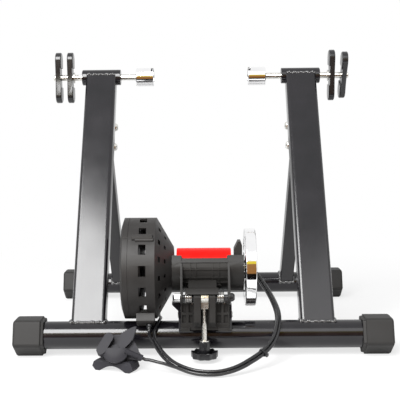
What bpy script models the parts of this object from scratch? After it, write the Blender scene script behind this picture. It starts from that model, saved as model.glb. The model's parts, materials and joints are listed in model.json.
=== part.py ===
"""A folding indoor bike trainer: a hinged stand that clamps the rear axle, and a magnetic roller unit.

The parts are laid out from the axis of the front base tube: +X runs along that tube, +Y back towards the
support tube and +Z up. The whole trainer hangs under one empty that brings the middle of its footprint to
the world's origin. Sizes are in metres.
"""

import math

import bmesh
import bpy
import numpy as np
from mathutils import Matrix, Vector

# Clearances
GAP = 0.0003
SMOOTH_ANGLE = math.radians(32)

# Front base tube and its turning feet
BASE_TUBE_R = 0.020
TUBE_WALL = 0.002
BASE_HALF_SPAN = 0.2725
FOOT_LENGTH = 0.040
FOOT_INRADIUS = 0.0253
FOOT_CORNER_R = 0.0055
FOOT_END_WALL = 0.0045
FOOT_LIP = 0.004
FOOT_LIP_INSET = 0.003
FOOT_SIDES = 5

# Support tube behind, on the swinging legs
SUPPORT_TUBE_R = 0.019
SUPPORT_HALF_SPAN = 0.2675
SUPPORT_Y = 0.440

# Main legs
LEG_X = 0.166
LEG_WIDTH = 0.050
LEG_DEPTH = 0.030
LEG_CORNER_R = 0.006
AXLE_Y = 0.232
AXLE_RISE = 0.3845
LEG_STOP_SHORT = 0.004

# Axle clamps
SLEEVE_R = 0.01285
SLEEVE_INNER_X = 0.134
SLEEVE_OUTER_X = 0.198
SPINDLE_R = 0.005
SPINDLE_END_X = 0.2462
CUP_R = 0.015
CUP_BORE_R = 0.011
CUP_INNER_X = 0.0785
CUP_OUTER_X = 0.108
CUP_BORE_DEPTH = 0.014
CUP_NOTCH_WIDTH = 0.010
CUP_NOTCH_DEPTH = 0.0045
CUP_NOTCH_TURN = math.radians(-35)
SPINDLE_HEAD_R = 0.008
SPINDLE_HEAD = 0.003
SPINDLE_COLLAR_R = 0.0075
SPINDLE_COLLAR = 0.003
COLLAR_INSET = 0.004
TIGHTENING_KNOB_X = 0.2326
LOCK_KNOB_X = 0.2129
KNOB_THICKNESS = 0.0098
KNOB_REACH = 0.042
KNOB_LOBE_R = 0.013
KNOB_WAIST = 0.0105
KNOB_WAIST_REACH = 0.008
KNOB_RECESS = 0.0018
KNOB_RECESS_REACH = 0.016
KNOB_EDGE = 0.0012
LOCK_WASHER_R = 0.009
LOCK_WASHER = 0.0015
# How far each wing knob is turned about its spindle, left and right
TIGHTENING_TURNS = {-1: 0.0, 1: math.radians(32)}
LOCK_TURNS = {-1: 0.0, 1: math.radians(8)}

# Folding hinge
HINGE_OFFSET = 0.0368
HINGE_RISE = 0.2685
SUPPORT_LEG_X = 0.161
SUPPORT_LEG_SIZE = 0.025
SUPPORT_LEG_CORNER_R = 0.0035
SUPPORT_LEG_STUB = 0.013
BRACKET_PLATE = 0.003
BRACKET_REACH = 0.011
BRACKET_BOLT_PITCH = 0.0379
HINGE_BOLT_R = 0.004
HINGE_HEAD_R = 0.007
HINGE_HEAD = 0.0055
HINGE_NUT_FLATS = 0.013
HINGE_NUT = 0.0065
BOLT_PROUD = 0.0025

# Roller axis, and the direction in which the tyre presses on the roller
ROLLER_Y = 0.015
ROLLER_RISE = 0.0955
TYRE_ANGLE = math.radians(50.4)
SHAFT_R = 0.006
SHAFT_LEFT_X = -0.104
SHAFT_RIGHT_X = 0.0762
ROLLER_R = 0.0285
ROLLER_LEFT_X = -0.037
ROLLER_RIGHT_X = 0.0415
ROLLER_EDGE = 0.001
BEARING_R = 0.014
BEARING = 0.008
BEARING_LEFT_X = -0.0485
BEARING_RIGHT_X = 0.0475

# Flywheel
FLYWHEEL_R = 0.056
FLYWHEEL_LEFT_X = 0.0613
FLYWHEEL_RIGHT_X = 0.0767
FLYWHEEL_RIM = 0.011
FLYWHEEL_WEB_INSET = 0.0056
FLYWHEEL_HUB_R = 0.016
FLYWHEEL_EDGE = 0.0016
FLYWHEEL_NUT_FLATS = 0.019
FLYWHEEL_NUT = 0.0045

# Cradle that carries the roller
TROUGH_R = 0.0323
TROUGH_BORE_R = 0.030
COLLAR_R = 0.0342
LEFT_COLLAR = (-0.047, -0.030)
RIGHT_COLLAR = (0.036, 0.0596)
TROUGH_FRONT_RISE = 0.0173
WEB = 0.005
HUB_R = 0.0175
HUB_LEFT_X = -0.092
HUB_SHOULDER_R = 0.021
HUB_BORE_R = 0.0095
RIB = 0.0018
RIB_ANGLES = (22, 4, -17, -32)
RIB_RING_ANGLES = (24, -48)
RIB_RING_XS = (-0.0175, -0.0095, 0.0145, 0.0235)
EAR_LEFT_X = 0.046
EAR_RIGHT_X = 0.0575
EAR_RISE = 0.0395
EAR_DEPTH = 0.026
BOSS_R = 0.0042
CRADLE_BOSS_XS = (-0.0185, 0.0235)
CRADLE_BOSS_ANGLE = -42

# Pivot on which the roller unit swings
PIVOT_Y = -0.042
PIVOT_RISE = 0.062
PIVOT_BOLT_R = 0.004
PIVOT_EYE_R = 0.009
CRADLE_LEG = 0.003
CRADLE_LEG_LEFT_X = -0.031
CRADLE_LEG_RIGHT_X = 0.039
CRADLE_LEG_WRAP = math.radians(65)
COVER_R = 0.0135
COVER_BORE_R = 0.0105
COVER_XS = (-0.024, 0.0225)
COVER_ANGLES = (30, 160)
ARM_XS = (-0.020, 0.020)
ARM_THICKNESS = 0.007
PIVOT_NUT_FLATS = 0.010
PIVOT_NUT = 0.008
PIVOT_CAP_R = 0.0065
PIVOT_CAP = 0.0057

# Pivot block and its steel bracket on the base tube
BLOCK_LEFT_X = -0.0307
BLOCK_RIGHT_X = 0.0377
BLOCK_FRONT_Y = -0.036
BLOCK_BACK_Y = -0.006
BLOCK_TOP = 0.0525
BLOCK_ROWS = (0.0225, 0.0375)
LUG_XS = ((-0.012, -0.0025), (0.0093, 0.018))
LUG_FRONT_Y = -0.050
LUG_BOTTOM = 0.020
LUG_BACK_Y = -0.024
BLOCK_TABS = ((-0.0307, -0.018), (0.022, 0.0377))
BLOCK_TAB_REACH = 0.006
BLOCK_TAB = 0.0045
POCKET_DEPTH = 0.004
BRACKET_SHEET = 0.003
BRACKET_LEAN = math.radians(60)
BRACKET_FRONT = 0.018
BRACKET_BACK = 0.016
CHEEK_BOTTOM = 0.0105
CHEEK_TOP = 0.050
CHEEK_FRONT_Y = -0.034
CHEEK_BACK_Y = -0.004
TAB_REACH = 0.009
TAB_BOTTOM = 0.041
TAB_YS = (-0.034, -0.014)
LOWER_BOLT_Y = -0.018
LOWER_BOLT_RISE = 0.033
LOWER_HEAD_R = 0.0055
LOWER_HEAD = 0.0012

# Torsion springs round the pivot bolt
SPRING_WIRE_R = 0.0009
SPRING_R = 0.0073
SPRING_XS = ((-0.0245, -0.0135), (0.0200, 0.0310))
SPRING_TURNS = 4
SPRING_POINTS = 9
SPRING_LEG = 0.009

# Tension rod and star knob
YOKE_X = 0.0031
YOKE_WIDTH = 0.0106
YOKE_R = 0.0075
YOKE_TAIL = 0.0155
YOKE_DEPTH = 0.009
ROD_X = 0.0022
ROD_R = 0.0036
ROD_BOTTOM = -0.0215
STAR_R = 0.0193
STAR_LOBES = 9
STAR_DEPTH = 0.0024
STAR_WAVE = 0.0014
STAR_BOTTOM = -0.0237
STAR_HEIGHT = 0.0098
STAR_EDGE = 0.0011
STAR_WALL = 0.0024
STAR_FLOOR = 0.0035
STAR_HUB_R = 0.0081
STAR_HUB_TOP = 0.0232
STAR_WASHER = 0.0015
STAR_WASHER_R = 0.0072

# Magnet drum
DRUM_R = 0.0735
DRUM_WALL = 0.0025
DRUM_SPLIT_X = -0.104
DRUM_CONE_X = -0.066
DRUM_NECK_X = -0.0413
DRUM_NECK_R = 0.0306
COVER_FACE_X = -0.115
COVER_FACE_R = DRUM_R - 0.0095
COVER_SHOULDER_X = -0.1118
COVER_SLOTS = 12
COVER_SLOT = (DRUM_R - 0.0435, DRUM_R - 0.0175, 0.005)
VENTS = 15
VENT_XS = (-0.0888, -0.0785)
VENT_LENGTH = 0.015
VENT_START = math.radians(5)
VENT_UNDER_OUTLET = 12
SCREW_BOSS_R = 0.005
SCREW_BOSS_XS = (-0.098, -0.0695)
SCREW_BOSS_ANGLES = (43.7, 148.7, -106.3)
SCREW_GROOVE_R = 0.003
OUTLET_ANGLE = math.radians(-61)
OUTLET_XS = (-0.094, -0.068)
OUTLET_REACH = DRUM_R + 0.012
OUTLET_ROOT = DRUM_R - 0.0043
OUTLET_SIDES = (-0.012, 0.009)
OUTLET_EDGE = 0.002

# Magnets and rotor inside the drum
ROTOR_R = DRUM_R - 0.0115
ROTOR_LEFT_X = -0.0995
ROTOR_THICKNESS = 0.0035
ROTOR_HUB_R = 0.012
ROTOR_HUB = 0.007
RING_R = DRUM_R - 0.0075
RING_PLATE = 0.003
FIXED_RING_X = -0.1115
FIXED_RING_BORE_R = 0.020
MOVING_RING_X = -0.087
MAGNETS = 6
MAGNET_R = 0.009
MAGNET_HEIGHT = 0.005
MAGNET_CIRCLE_R = RING_R - 0.018

# Shifter lying on the floor. Its flat shapes are drawn on the dial's face, the depths run along its axis
SHIFTER_X = -0.118
SHIFTER_Y = -0.092
SHIFTER_Z = 0.031
SHIFTER_TILT = math.radians(60)
DIAL_R = 0.018
DIAL_CROWN = 0.004
DIAL_FRONT = 0.005
DIAL_CORE_R = 0.006
DIAL_CUT = 0.0015
BACK_PLATE = (-0.013, -0.0096)
# Round the plate from the rim behind the cable pipe up to the left end of the top edge
BACK_EDGE = (
    (0.0330, -0.0125),
    (0.0377, -0.0091),
    (0.0307, 0.0005),
    (0.0307, 0.0024),
    (0.0233, 0.0159),
    (0.0065, 0.0241),
    (-0.0102, 0.0231),
)
BARREL_R = 0.0063
BARREL_ENDS = ((-0.0195, -0.0010), (-0.0095, 0.0170))
BARREL_FRONT = 0.003
LEVER_PLATE = (-0.0087, -0.0053)
LEVER_HUB_R = 0.009
LEVER_FRONT = -0.0012
# The lever's inner corners, and its outer ones from the tip of the teeth round to the dial's rim
LEVER_INNER = ((0.0186, 0.0091), (0.0112, 0.0019), (0.0037, 0.0034))
LEVER_OUTER = ((0.0167, 0.0289), (0.0223, 0.0318), (0.0274, 0.0330), (0.0260, 0.0255), (0.0233, 0.0159))
LEVER_TOOTH_START = (0.0065, 0.0226)
LEVER_TEETH = 4
LEVER_TOOTH = 0.0012
CABLE_BOSS_START = (-0.1045, -0.0960, 0.0305)
CABLE_BOSS_END = (-0.0820, -0.0935, 0.0195)
CABLE_BOSS_R = 0.0035
CABLE_COLLAR_R = 0.0043
CABLE_COLLAR = 0.005
SADDLE_X = -0.1189
SADDLE_Y = -0.0793
SADDLE_TURN = math.radians(-22.7)
SADDLE_HALF_DEPTH = 0.011
# The right half of the saddle's outline, from the foot beside the arch up to the top corner
SADDLE_SIDE = ((0.0260, 0.0), (0.0310, 0.0055), (0.0275, 0.0145))
SADDLE_ARCH_HALF = 0.0195
SADDLE_ARCH_RISE = 0.0076
SADDLE_EDGE = 0.0025

# Cable
CABLE_R = 0.0022
STRAND_RING_R = 0.0029
STRAND_TURNS = {1: math.radians(200), 2: math.radians(80), 3: math.radians(-40)}
BUNDLE_TWIST = math.radians(80)
LOOP_SLOPE = 0.45
BUNDLE_STATIONS = 32
SHIFTER_LEAD_STATION = 6
SPLIT_STATION = 8
CORD_PITCH = 0.012
GLAND_X = -0.076
GLAND_R = 0.0045
GLAND_LENGTH = 0.008
TIE_STRAP = 0.0008
TIE_WIDTH = 0.0032
TIE_HEAD = (0.0042, 0.0030)
TIE_STATION = 16
# Middle of the bundle, from under the drum, down to the floor, and up to where it passes behind the flywheel
BUNDLE_ROUTE = (
    (-0.0690, -0.0540, 0.0346),
    (-0.0611, -0.0738, 0.0267),
    (-0.0513, -0.0901, 0.0193),
    (-0.0397, -0.1031, 0.0135),
    (-0.0284, -0.1109, 0.0100),
    (-0.0173, -0.1164, 0.0075),
    (-0.0063, -0.1198, 0.0060),
    (0.0091, -0.1214, 0.0054),
    (0.0223, -0.1206, 0.0057),
    (0.0356, -0.1164, 0.0075),
    (0.0491, -0.1094, 0.0106),
    (0.0606, -0.1006, 0.0146),
    (0.0724, -0.0906, 0.0191),
    (0.0840, -0.0785, 0.0245),
    (0.0949, -0.0617, 0.0321),
    (0.1021, -0.0428, 0.0406),
    (0.1066, -0.0217, 0.0501),
    (0.1082, -0.0073, 0.0566),
    (0.1080, 0.0070, 0.0630),
    (0.1054, 0.0249, 0.0711),
    (0.1000, 0.0480, 0.0814),
    (0.0931, 0.0686, 0.0907),
    (0.0876, 0.0826, 0.0970),
)
# Behind the roller unit to the left, down behind the drum, over the base tube and down again
BACK_ROUTE = (
    (0.0780, 0.0915, 0.0985),
    (0.0660, 0.0975, 0.0985),
    (0.0500, 0.0995, 0.0970),
    (0.0200, 0.0985, 0.0960),
    (-0.0100, 0.0970, 0.0960),
    (-0.0350, 0.0945, 0.0965),
    (-0.0530, 0.0890, 0.0940),
    (-0.0630, 0.0790, 0.0830),
    (-0.0655, 0.0620, 0.0640),
    (-0.0650, 0.0380, 0.0510),
    (-0.0615, 0.0150, 0.0520),
    (-0.0610, 0.0000, 0.0537),
    (-0.0630, -0.0095, 0.0522),
    (-0.0650, -0.0180, 0.0486),
    (-0.0678, -0.0262, 0.0438),
    (-0.0690, -0.0360, 0.0408),
)
# The U-turn that is hidden behind the roller unit
TURN_ROUTE = (
    (0.0810, 0.0900, 0.1075),
    (0.0690, 0.0925, 0.1155),
    (0.0560, 0.0930, 0.1225),
    (0.0420, 0.0935, 0.1250),
    (0.0300, 0.0965, 0.1215),
    (0.0250, 0.1035, 0.1125),
    (0.0300, 0.1095, 0.1040),
    (0.0420, 0.1115, 0.1010),
    (0.0560, 0.1110, 0.1010),
    (0.0700, 0.1070, 0.1025),
    (0.0820, 0.0985, 0.1020),
)
DRUM_LEAD_ROUTE = ((-0.0742, -0.0440, 0.0362),)
SHIFTER_LEAD_ROUTE = (
    (-0.0715, -0.0950, 0.0172),
    (-0.0622, -0.0980, 0.0155),
    (-0.0509, -0.1022, 0.0138),
    (-0.0396, -0.1084, 0.0117),
)

# Segments round a turned shape
FINE = 32
MEDIUM = 20
COARSE = 12
SMALL = 10
HALF_TURN_STEPS = 12

# Sizes that follow from the ones above
CORNER_ANGLE = math.pi / FOOT_SIDES
FOOT_REACH = (FOOT_INRADIUS - FOOT_CORNER_R) / math.cos(CORNER_ANGLE) + FOOT_CORNER_R
BASE_Z = FOOT_REACH
AXLE_Z = BASE_Z + AXLE_RISE
LEG_LEAN = math.atan2(AXLE_Y, AXLE_RISE)
LEG_LENGTH = math.hypot(AXLE_Y, AXLE_RISE)
HINGE_Z = BASE_Z + HINGE_RISE
HINGE_Y = (HINGE_OFFSET + HINGE_RISE * math.sin(LEG_LEAN)) / math.cos(LEG_LEAN)
SUPPORT_LEAN = math.atan2(SUPPORT_Y - HINGE_Y, HINGE_Z - FOOT_REACH)
SUPPORT_LEG_LENGTH = math.hypot(SUPPORT_Y - HINGE_Y, HINGE_Z - FOOT_REACH)
PIVOT_Z = BASE_Z + PIVOT_RISE
ROLLER_Z = BASE_Z + ROLLER_RISE
SADDLE_HALF_LENGTH = max(x for x, _ in SADDLE_SIDE)
SADDLE_TOP = max(z for _, z in SADDLE_SIDE)
SADDLE_TURNED_LENGTH = SADDLE_HALF_LENGTH * abs(math.sin(SADDLE_TURN))
SADDLE_TURNED_DEPTH = SADDLE_HALF_DEPTH * math.cos(SADDLE_TURN)
SADDLE_FRONT_Y = SADDLE_Y - SADDLE_TURNED_LENGTH - SADDLE_TURNED_DEPTH
FOOT_HALF_WIDTH = (FOOT_REACH - FOOT_CORNER_R) * math.cos(math.pi / 2 - 2 * CORNER_ANGLE) + FOOT_CORNER_R
FOOTPRINT_MIDDLE_Y = (SUPPORT_Y + FOOT_HALF_WIDTH + SADDLE_FRONT_Y) / 2


def clear_scene():
    """Remove every object that the scene starts with."""
    for obj in list(bpy.data.objects):
        bpy.data.objects.remove(obj, do_unlink=True)


def material(name, colour, roughness, metallic=0.0):
    """A plain surface: a linear colour, a roughness and a metallic value."""
    mat = bpy.data.materials.new(name)
    mat.use_nodes = True
    shader = mat.node_tree.nodes["Principled BSDF"]
    shader.inputs["Base Color"].default_value = (*colour, 1.0)
    shader.inputs["Roughness"].default_value = roughness
    shader.inputs["Metallic"].default_value = metallic
    return mat


def empty(name, location, parent=None, rotation=(0, 0, 0)):
    """A frame that parts are placed in."""
    obj = bpy.data.objects.new(name, None)
    bpy.context.scene.collection.objects.link(obj)
    obj.parent = parent
    obj.location = location
    obj.rotation_euler = rotation
    return obj


def place(name, bm, mat=None, parent=None, location=(0, 0, 0), rotation=(0, 0, 0)):
    """Make an object of the bmesh. Without a material it is a hidden helper for a Boolean."""
    bmesh.ops.recalc_face_normals(bm, faces=bm.faces)
    mesh = bpy.data.meshes.new(name)
    bm.to_mesh(mesh)
    bm.free()
    obj = bpy.data.objects.new(name, mesh)
    bpy.context.scene.collection.objects.link(obj)
    obj.parent = parent
    obj.location = location
    obj.rotation_euler = rotation
    if mat is None:
        obj.hide_render = True
        obj.display_type = "WIRE"
    else:
        mesh.materials.append(mat)
    return obj


def combine(target, operation, *others):
    """Add one Boolean modifier for each of the other objects."""
    for other in others:
        modifier = target.modifiers.new(other.name, "BOOLEAN")
        modifier.operation = operation
        modifier.solver = "EXACT"
        modifier.object = other
    return target


def join(target, *others):
    return combine(target, "UNION", *others)


def cut(target, *others):
    return combine(target, "DIFFERENCE", *others)


def arc(centre, radius, start, end, steps):
    """Points of a circular arc in the plane, from one angle to another."""
    angles = [start + (end - start) * i / steps for i in range(steps + 1)]
    return [(centre[0] + radius * math.cos(a), centre[1] + radius * math.sin(a)) for a in angles]


def circle(radius, segments, centre=(0, 0)):
    return arc(centre, radius, 0, 2 * math.pi * (segments - 1) / segments, segments - 1)


def rectangle(low, high):
    return [(low[0], low[1]), (high[0], low[1]), (high[0], high[1]), (low[0], high[1])]


def rounded(corners, radius, steps=3):
    """The polygon with each corner replaced by an arc of the radius."""
    outline = []
    count = len(corners)
    for i, corner in enumerate(corners):
        here = Vector(corner)
        before = (Vector(corners[i - 1]) - here).normalized()
        after = (Vector(corners[(i + 1) % count]) - here).normalized()
        half = before.angle(after) / 2
        centre = here + (before + after).normalized() * radius / math.sin(half)
        start = here + before * radius / math.tan(half) - centre
        end = here + after * radius / math.tan(half) - centre
        first = math.atan2(start.y, start.x)
        sweep = (math.atan2(end.y, end.x) - first + math.pi) % (2 * math.pi) - math.pi
        outline += arc(tuple(centre), radius, first, first + sweep, steps)
    return outline


PLANES = {
    "X": lambda a, b, along: (along, a, b),
    "Y": lambda a, b, along: (a, along, b),
    "Z": lambda a, b, along: (a, b, along),
}


def loft(bm, outlines, stations, plane="X"):
    """Skin outlines of equal length, each at its own place along the plane's axis, and close both ends."""
    rings = [
        [bm.verts.new(PLANES[plane](a, b, along)) for a, b in outline]
        for outline, along in zip(outlines, stations)
    ]
    count = len(rings[0])
    for low, high in zip(rings, rings[1:]):
        for i in range(count):
            j = (i + 1) % count
            bm.faces.new((low[i], low[j], high[j], high[i]))
    bm.faces.new(rings[0])
    bm.faces.new(rings[-1])
    return bm


def prism(outline, span, plane="X", bm=None):
    """The outline drawn out from span[0] to span[1] along the plane's axis."""
    return loft(bm or bmesh.new(), [outline, outline], span, plane)


def tube_prism(outer, inner, span, plane="X"):
    """A straight tube between two outlines that have as many points."""
    bm = bmesh.new()
    ends = []
    for along in span:
        ends.append([[bm.verts.new(PLANES[plane](a, b, along)) for a, b in line] for line in (outer, inner)])
    count = len(outer)
    for i in range(count):
        j = (i + 1) % count
        for k in range(2):
            bm.faces.new((ends[0][k][i], ends[0][k][j], ends[1][k][j], ends[1][k][i]))
        for end in ends:
            bm.faces.new((end[0][i], end[0][j], end[1][j], end[1][i]))
    return bm


def turned(profile, segments, bm=None):
    """Spin (along, radius) points about X. One that ends on the axis is closed, any other a ring."""
    bm = bm or bmesh.new()
    points = [bm.verts.new((along, 0, radius)) for along, radius in profile]
    on_axis = profile[0][1] == 0 and profile[-1][1] == 0
    pairs = list(zip(points, points[1:])) + ([] if on_axis else [(points[-1], points[0])])
    edges = [bm.edges.new(pair) for pair in pairs]
    bmesh.ops.spin(
        bm,
        geom=points + edges,
        cent=(0, 0, 0),
        axis=(1, 0, 0),
        angle=2 * math.pi,
        steps=segments,
        use_merge=True,
    )
    bmesh.ops.remove_doubles(bm, verts=bm.verts, dist=1e-7)
    return bm


def cylinder(radius, span, segments=COARSE, bm=None):
    return turned([(span[0], 0), (span[0], radius), (span[1], radius), (span[1], 0)], segments, bm)


def ring(inner, outer, span, segments=COARSE):
    return turned([(span[0], inner), (span[0], outer), (span[1], outer), (span[1], inner)], segments)


def box(low, high, bm=None):
    return prism(rectangle(low[1:], high[1:]), (low[0], high[0]), "X", bm)


def hexagon(flats):
    """A six-sided outline with one corner up."""
    return circle(flats / 2 / math.cos(math.pi / 6), 6)


def moved(bm, matrix):
    bmesh.ops.transform(bm, matrix=matrix, verts=bm.verts)
    return bm


def turned_about_x(bm, angle):
    """Turn a shape about X. The angle runs from the front of the machine, -Y, up towards +Z."""
    return moved(bm, Matrix.Rotation(-angle, 4, "X"))


def mirrored(bm, side):
    """The shape itself on the right, its mirror image on the left."""
    return moved(bm, Matrix.Scale(side, 4, (1, 0, 0)))


def side_name(stem, side):
    return f"{stem}_{'left' if side < 0 else 'right'}"


def foot_outline(inset):
    """The rounded pentagon of a foot with one corner straight down, drawn in by the inset."""
    reach = (FOOT_INRADIUS - FOOT_CORNER_R) / math.cos(CORNER_ANGLE)
    corner_r = max(FOOT_CORNER_R - inset, FOOT_CORNER_R / 4)
    reach -= (inset - (FOOT_CORNER_R - corner_r)) / math.cos(CORNER_ANGLE)
    outline = []
    for k in range(FOOT_SIDES):
        middle = -math.pi / 2 + 2 * CORNER_ANGLE * k
        centre = (reach * math.cos(middle), reach * math.sin(middle))
        outline += arc(centre, corner_r, middle - CORNER_ANGLE, middle + CORNER_ANGLE, 3)
    return outline


def foot(name, mat, parent, side, end_x, bore_r, location):
    """A hollow plastic foot on a tube's end: a lip, a step up to the full pentagon and a rounded end."""
    inner_x = end_x - FOOT_LENGTH
    sections = (
        (inner_x - FOOT_LIP, FOOT_LIP_INSET),
        (inner_x, FOOT_LIP_INSET * 0.7),
        (inner_x + FOOT_LIP * 0.1, 0.0),
        (end_x - FOOT_LIP, 0.0),
        (end_x - FOOT_LIP * 0.3, FOOT_LIP_INSET * 0.4),
        (end_x, FOOT_LIP_INSET * 1.3),
    )
    body = loft(bmesh.new(), [foot_outline(inset) for _, inset in sections], [x for x, _ in sections])
    bore = cylinder(bore_r, (inner_x - 2 * FOOT_LIP, end_x - FOOT_END_WALL), MEDIUM)
    obj = place(name, mirrored(body, side), mat, parent, location)
    return cut(obj, place(name + "_bore", mirrored(bore, side), None, parent, location))


def tube(name, mat, parent, radius, half_span, location):
    bm = ring(radius - TUBE_WALL, radius, (-half_span, half_span), MEDIUM)
    return place(name, bm, mat, parent, location)


def square_tube(width, depth, corner_r, span):
    """An upright rectangular tube with rounded corners."""
    half = (width / 2, depth / 2)
    outer = rounded(rectangle((-half[0], -half[1]), half), corner_r)
    bore = (half[0] - TUBE_WALL, half[1] - TUBE_WALL)
    inner = rounded(rectangle((-bore[0], -bore[1]), bore), corner_r - TUBE_WALL / 2)
    return tube_prism(outer, inner, span, "Z")


def round_bolt(head_r, head, shank_r, span, far_head=0.0):
    """A bolt along X with a domed head before span[0], and one after span[1] where far_head is given."""
    start, end = span
    profile = [
        (start - head, 0),
        (start - head, head_r * 0.55),
        (start - head * 0.6, head_r * 0.9),
        (start, head_r),
        (start, shank_r),
    ]
    if far_head:
        profile += [(end, shank_r), (end, head_r), (end + far_head, head_r * 0.7), (end + far_head, 0)]
    else:
        profile += [(end - shank_r * 0.2, shank_r), (end, shank_r * 0.8), (end, 0)]
    return turned(profile, SMALL)


def hex_nut(name, mat, parent, flats, span, bore_r, location):
    nut = place(name, prism(hexagon(flats), span), mat, parent, location)
    bore = cylinder(bore_r, (min(span) - GAP * 4, max(span) + GAP * 4), SMALL)
    return cut(nut, place(name + "_bore", bore, None, parent, location))


def build_stand(root, mats):
    """Base tube, its feet, the main legs and the sleeves at their tops."""
    base_half = BASE_HALF_SPAN - FOOT_END_WALL - GAP
    tube("main_base_tube", mats["satin"], root, BASE_TUBE_R, base_half, (0, 0, BASE_Z))
    for side in (-1, 1):
        foot(
            side_name("levelling_foot", side),
            mats["foot"],
            root,
            side,
            BASE_HALF_SPAN,
            BASE_TUBE_R + GAP,
            (0, 0, BASE_Z),
        )
        frame = empty(side_name("leg_frame", side), (side * LEG_X, 0, BASE_Z), root, (-LEG_LEAN, 0, 0))
        leg = place(
            side_name("main_leg", side),
            square_tube(LEG_WIDTH, LEG_DEPTH, LEG_CORNER_R, (0, LEG_LENGTH - LEG_STOP_SHORT)),
            mats["satin"],
            frame,
        )
        reach = LEG_WIDTH
        saddle = cylinder(BASE_TUBE_R + GAP, (-reach, reach), MEDIUM)
        notch = cylinder(SLEEVE_R + GAP, (-reach, reach), MEDIUM)
        cut(
            leg,
            place(side_name("leg_saddle", side), saddle, None, frame),
            place(side_name("leg_notch", side), notch, None, frame, (0, 0, LEG_LENGTH)),
        )
        sleeve = ring(SPINDLE_R + GAP, SLEEVE_R, (SLEEVE_INNER_X, SLEEVE_OUTER_X), MEDIUM)
        axle = (0, AXLE_Y, AXLE_Z)
        place(side_name("axle_sleeve", side), mirrored(sleeve, side), mats["satin"], root, axle)


def wing_outline():
    """A bar with a round lobe at each end and a slightly drawn-in waist."""
    lobe = KNOB_REACH - KNOB_LOBE_R
    return (
        arc((0, lobe), KNOB_LOBE_R, 0, math.pi, 8)
        + [(-KNOB_WAIST, KNOB_WAIST_REACH), (-KNOB_WAIST, -KNOB_WAIST_REACH)]
        + arc((0, -lobe), KNOB_LOBE_R, math.pi, 2 * math.pi, 8)
        + [(KNOB_WAIST, -KNOB_WAIST_REACH), (KNOB_WAIST, KNOB_WAIST_REACH)]
    )


def wing_knob(name, mat, parent, side, start_x, turn):
    """A two-lobed hand knob on the spindle, recessed round its hub on the side that faces the leg."""
    outline = wing_outline()
    inner = [(a * (1 - KNOB_EDGE / KNOB_LOBE_R), b * (1 - KNOB_EDGE / KNOB_REACH)) for a, b in outline]
    stations = (start_x, start_x + KNOB_EDGE, start_x + KNOB_THICKNESS - KNOB_EDGE, start_x + KNOB_THICKNESS)
    plate = loft(bmesh.new(), [inner, outline, outline, inner], stations)
    knob = place(name, mirrored(plate, side), mat, parent, (0, 0, 0), (turn, 0, 0))
    reach = KNOB_RECESS_REACH
    recess = box((start_x - KNOB_RECESS, -2 * reach, -reach), (start_x + KNOB_RECESS, 2 * reach, reach))
    bore = cylinder(SPINDLE_R + GAP, (start_x - KNOB_EDGE, start_x + KNOB_THICKNESS + KNOB_EDGE), COARSE)
    return cut(
        knob,
        place(name + "_recess", mirrored(recess, side), None, parent, (0, 0, 0), (turn, 0, 0)),
        place(name + "_bore", mirrored(bore, side), None, parent),
    )


def build_clamps(root, mats):
    """On each side a threaded spindle that carries the axle cup, with its tightening knob and lock knob."""
    for side in (-1, 1):
        axle = empty(side_name("axle_frame", side), (0, AXLE_Y, AXLE_Z), root)
        back_x = CUP_INNER_X + CUP_BORE_DEPTH
        edge = CUP_NOTCH_DEPTH / 4
        cup = turned(
            [
                (CUP_INNER_X, CUP_BORE_R),
                (CUP_INNER_X, CUP_R - edge),
                (CUP_INNER_X + edge, CUP_R),
                (CUP_OUTER_X - edge, CUP_R),
                (CUP_OUTER_X, CUP_R - edge),
                (CUP_OUTER_X, SPINDLE_COLLAR_R + GAP),
                (CUP_OUTER_X - COLLAR_INSET, SPINDLE_COLLAR_R + GAP),
                (CUP_OUTER_X - COLLAR_INSET, SPINDLE_R + GAP),
                (back_x, SPINDLE_R + GAP),
                (back_x, CUP_BORE_R),
            ],
            MEDIUM,
        )
        cup = place(side_name("axle_cup", side), mirrored(cup, side), mats["chrome"], axle)
        half = CUP_NOTCH_WIDTH / 2
        notch = box(
            (CUP_INNER_X - CUP_NOTCH_DEPTH, -half, -2 * CUP_R),
            (CUP_INNER_X + CUP_NOTCH_DEPTH, half, 2 * CUP_R),
        )
        turned_about_x(notch, CUP_NOTCH_TURN)
        cut(cup, place(side_name("cup_notch", side), mirrored(notch, side), None, axle))
        collar_x = CUP_OUTER_X - COLLAR_INSET + GAP
        head_x = back_x - GAP - SPINDLE_HEAD
        spindle = turned(
            [
                (head_x, 0),
                (head_x, SPINDLE_HEAD_R),
                (back_x - GAP, SPINDLE_HEAD_R),
                (back_x - GAP, SPINDLE_R),
                (collar_x, SPINDLE_R),
                (collar_x, SPINDLE_COLLAR_R),
                (collar_x + SPINDLE_COLLAR, SPINDLE_COLLAR_R),
                (collar_x + SPINDLE_COLLAR, SPINDLE_R),
                (SPINDLE_END_X - SPINDLE_R * 0.2, SPINDLE_R),
                (SPINDLE_END_X, SPINDLE_R * 0.8),
                (SPINDLE_END_X, 0),
            ],
            COARSE,
        )
        place(side_name("spindle", side), mirrored(spindle, side), mats["zinc"], axle)
        wing_knob(
            side_name("tightening_knob", side),
            mats["knob"],
            axle,
            side,
            TIGHTENING_KNOB_X,
            TIGHTENING_TURNS[side],
        )
        wing_knob(side_name("lock_knob", side), mats["knob"], axle, side, LOCK_KNOB_X, LOCK_TURNS[side])
        washer_x = LOCK_KNOB_X - GAP
        washer = ring(SPINDLE_R + GAP, LOCK_WASHER_R, (washer_x - LOCK_WASHER, washer_x), COARSE)
        place(side_name("lock_washer", side), mirrored(washer, side), mats["zinc"], axle)


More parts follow.
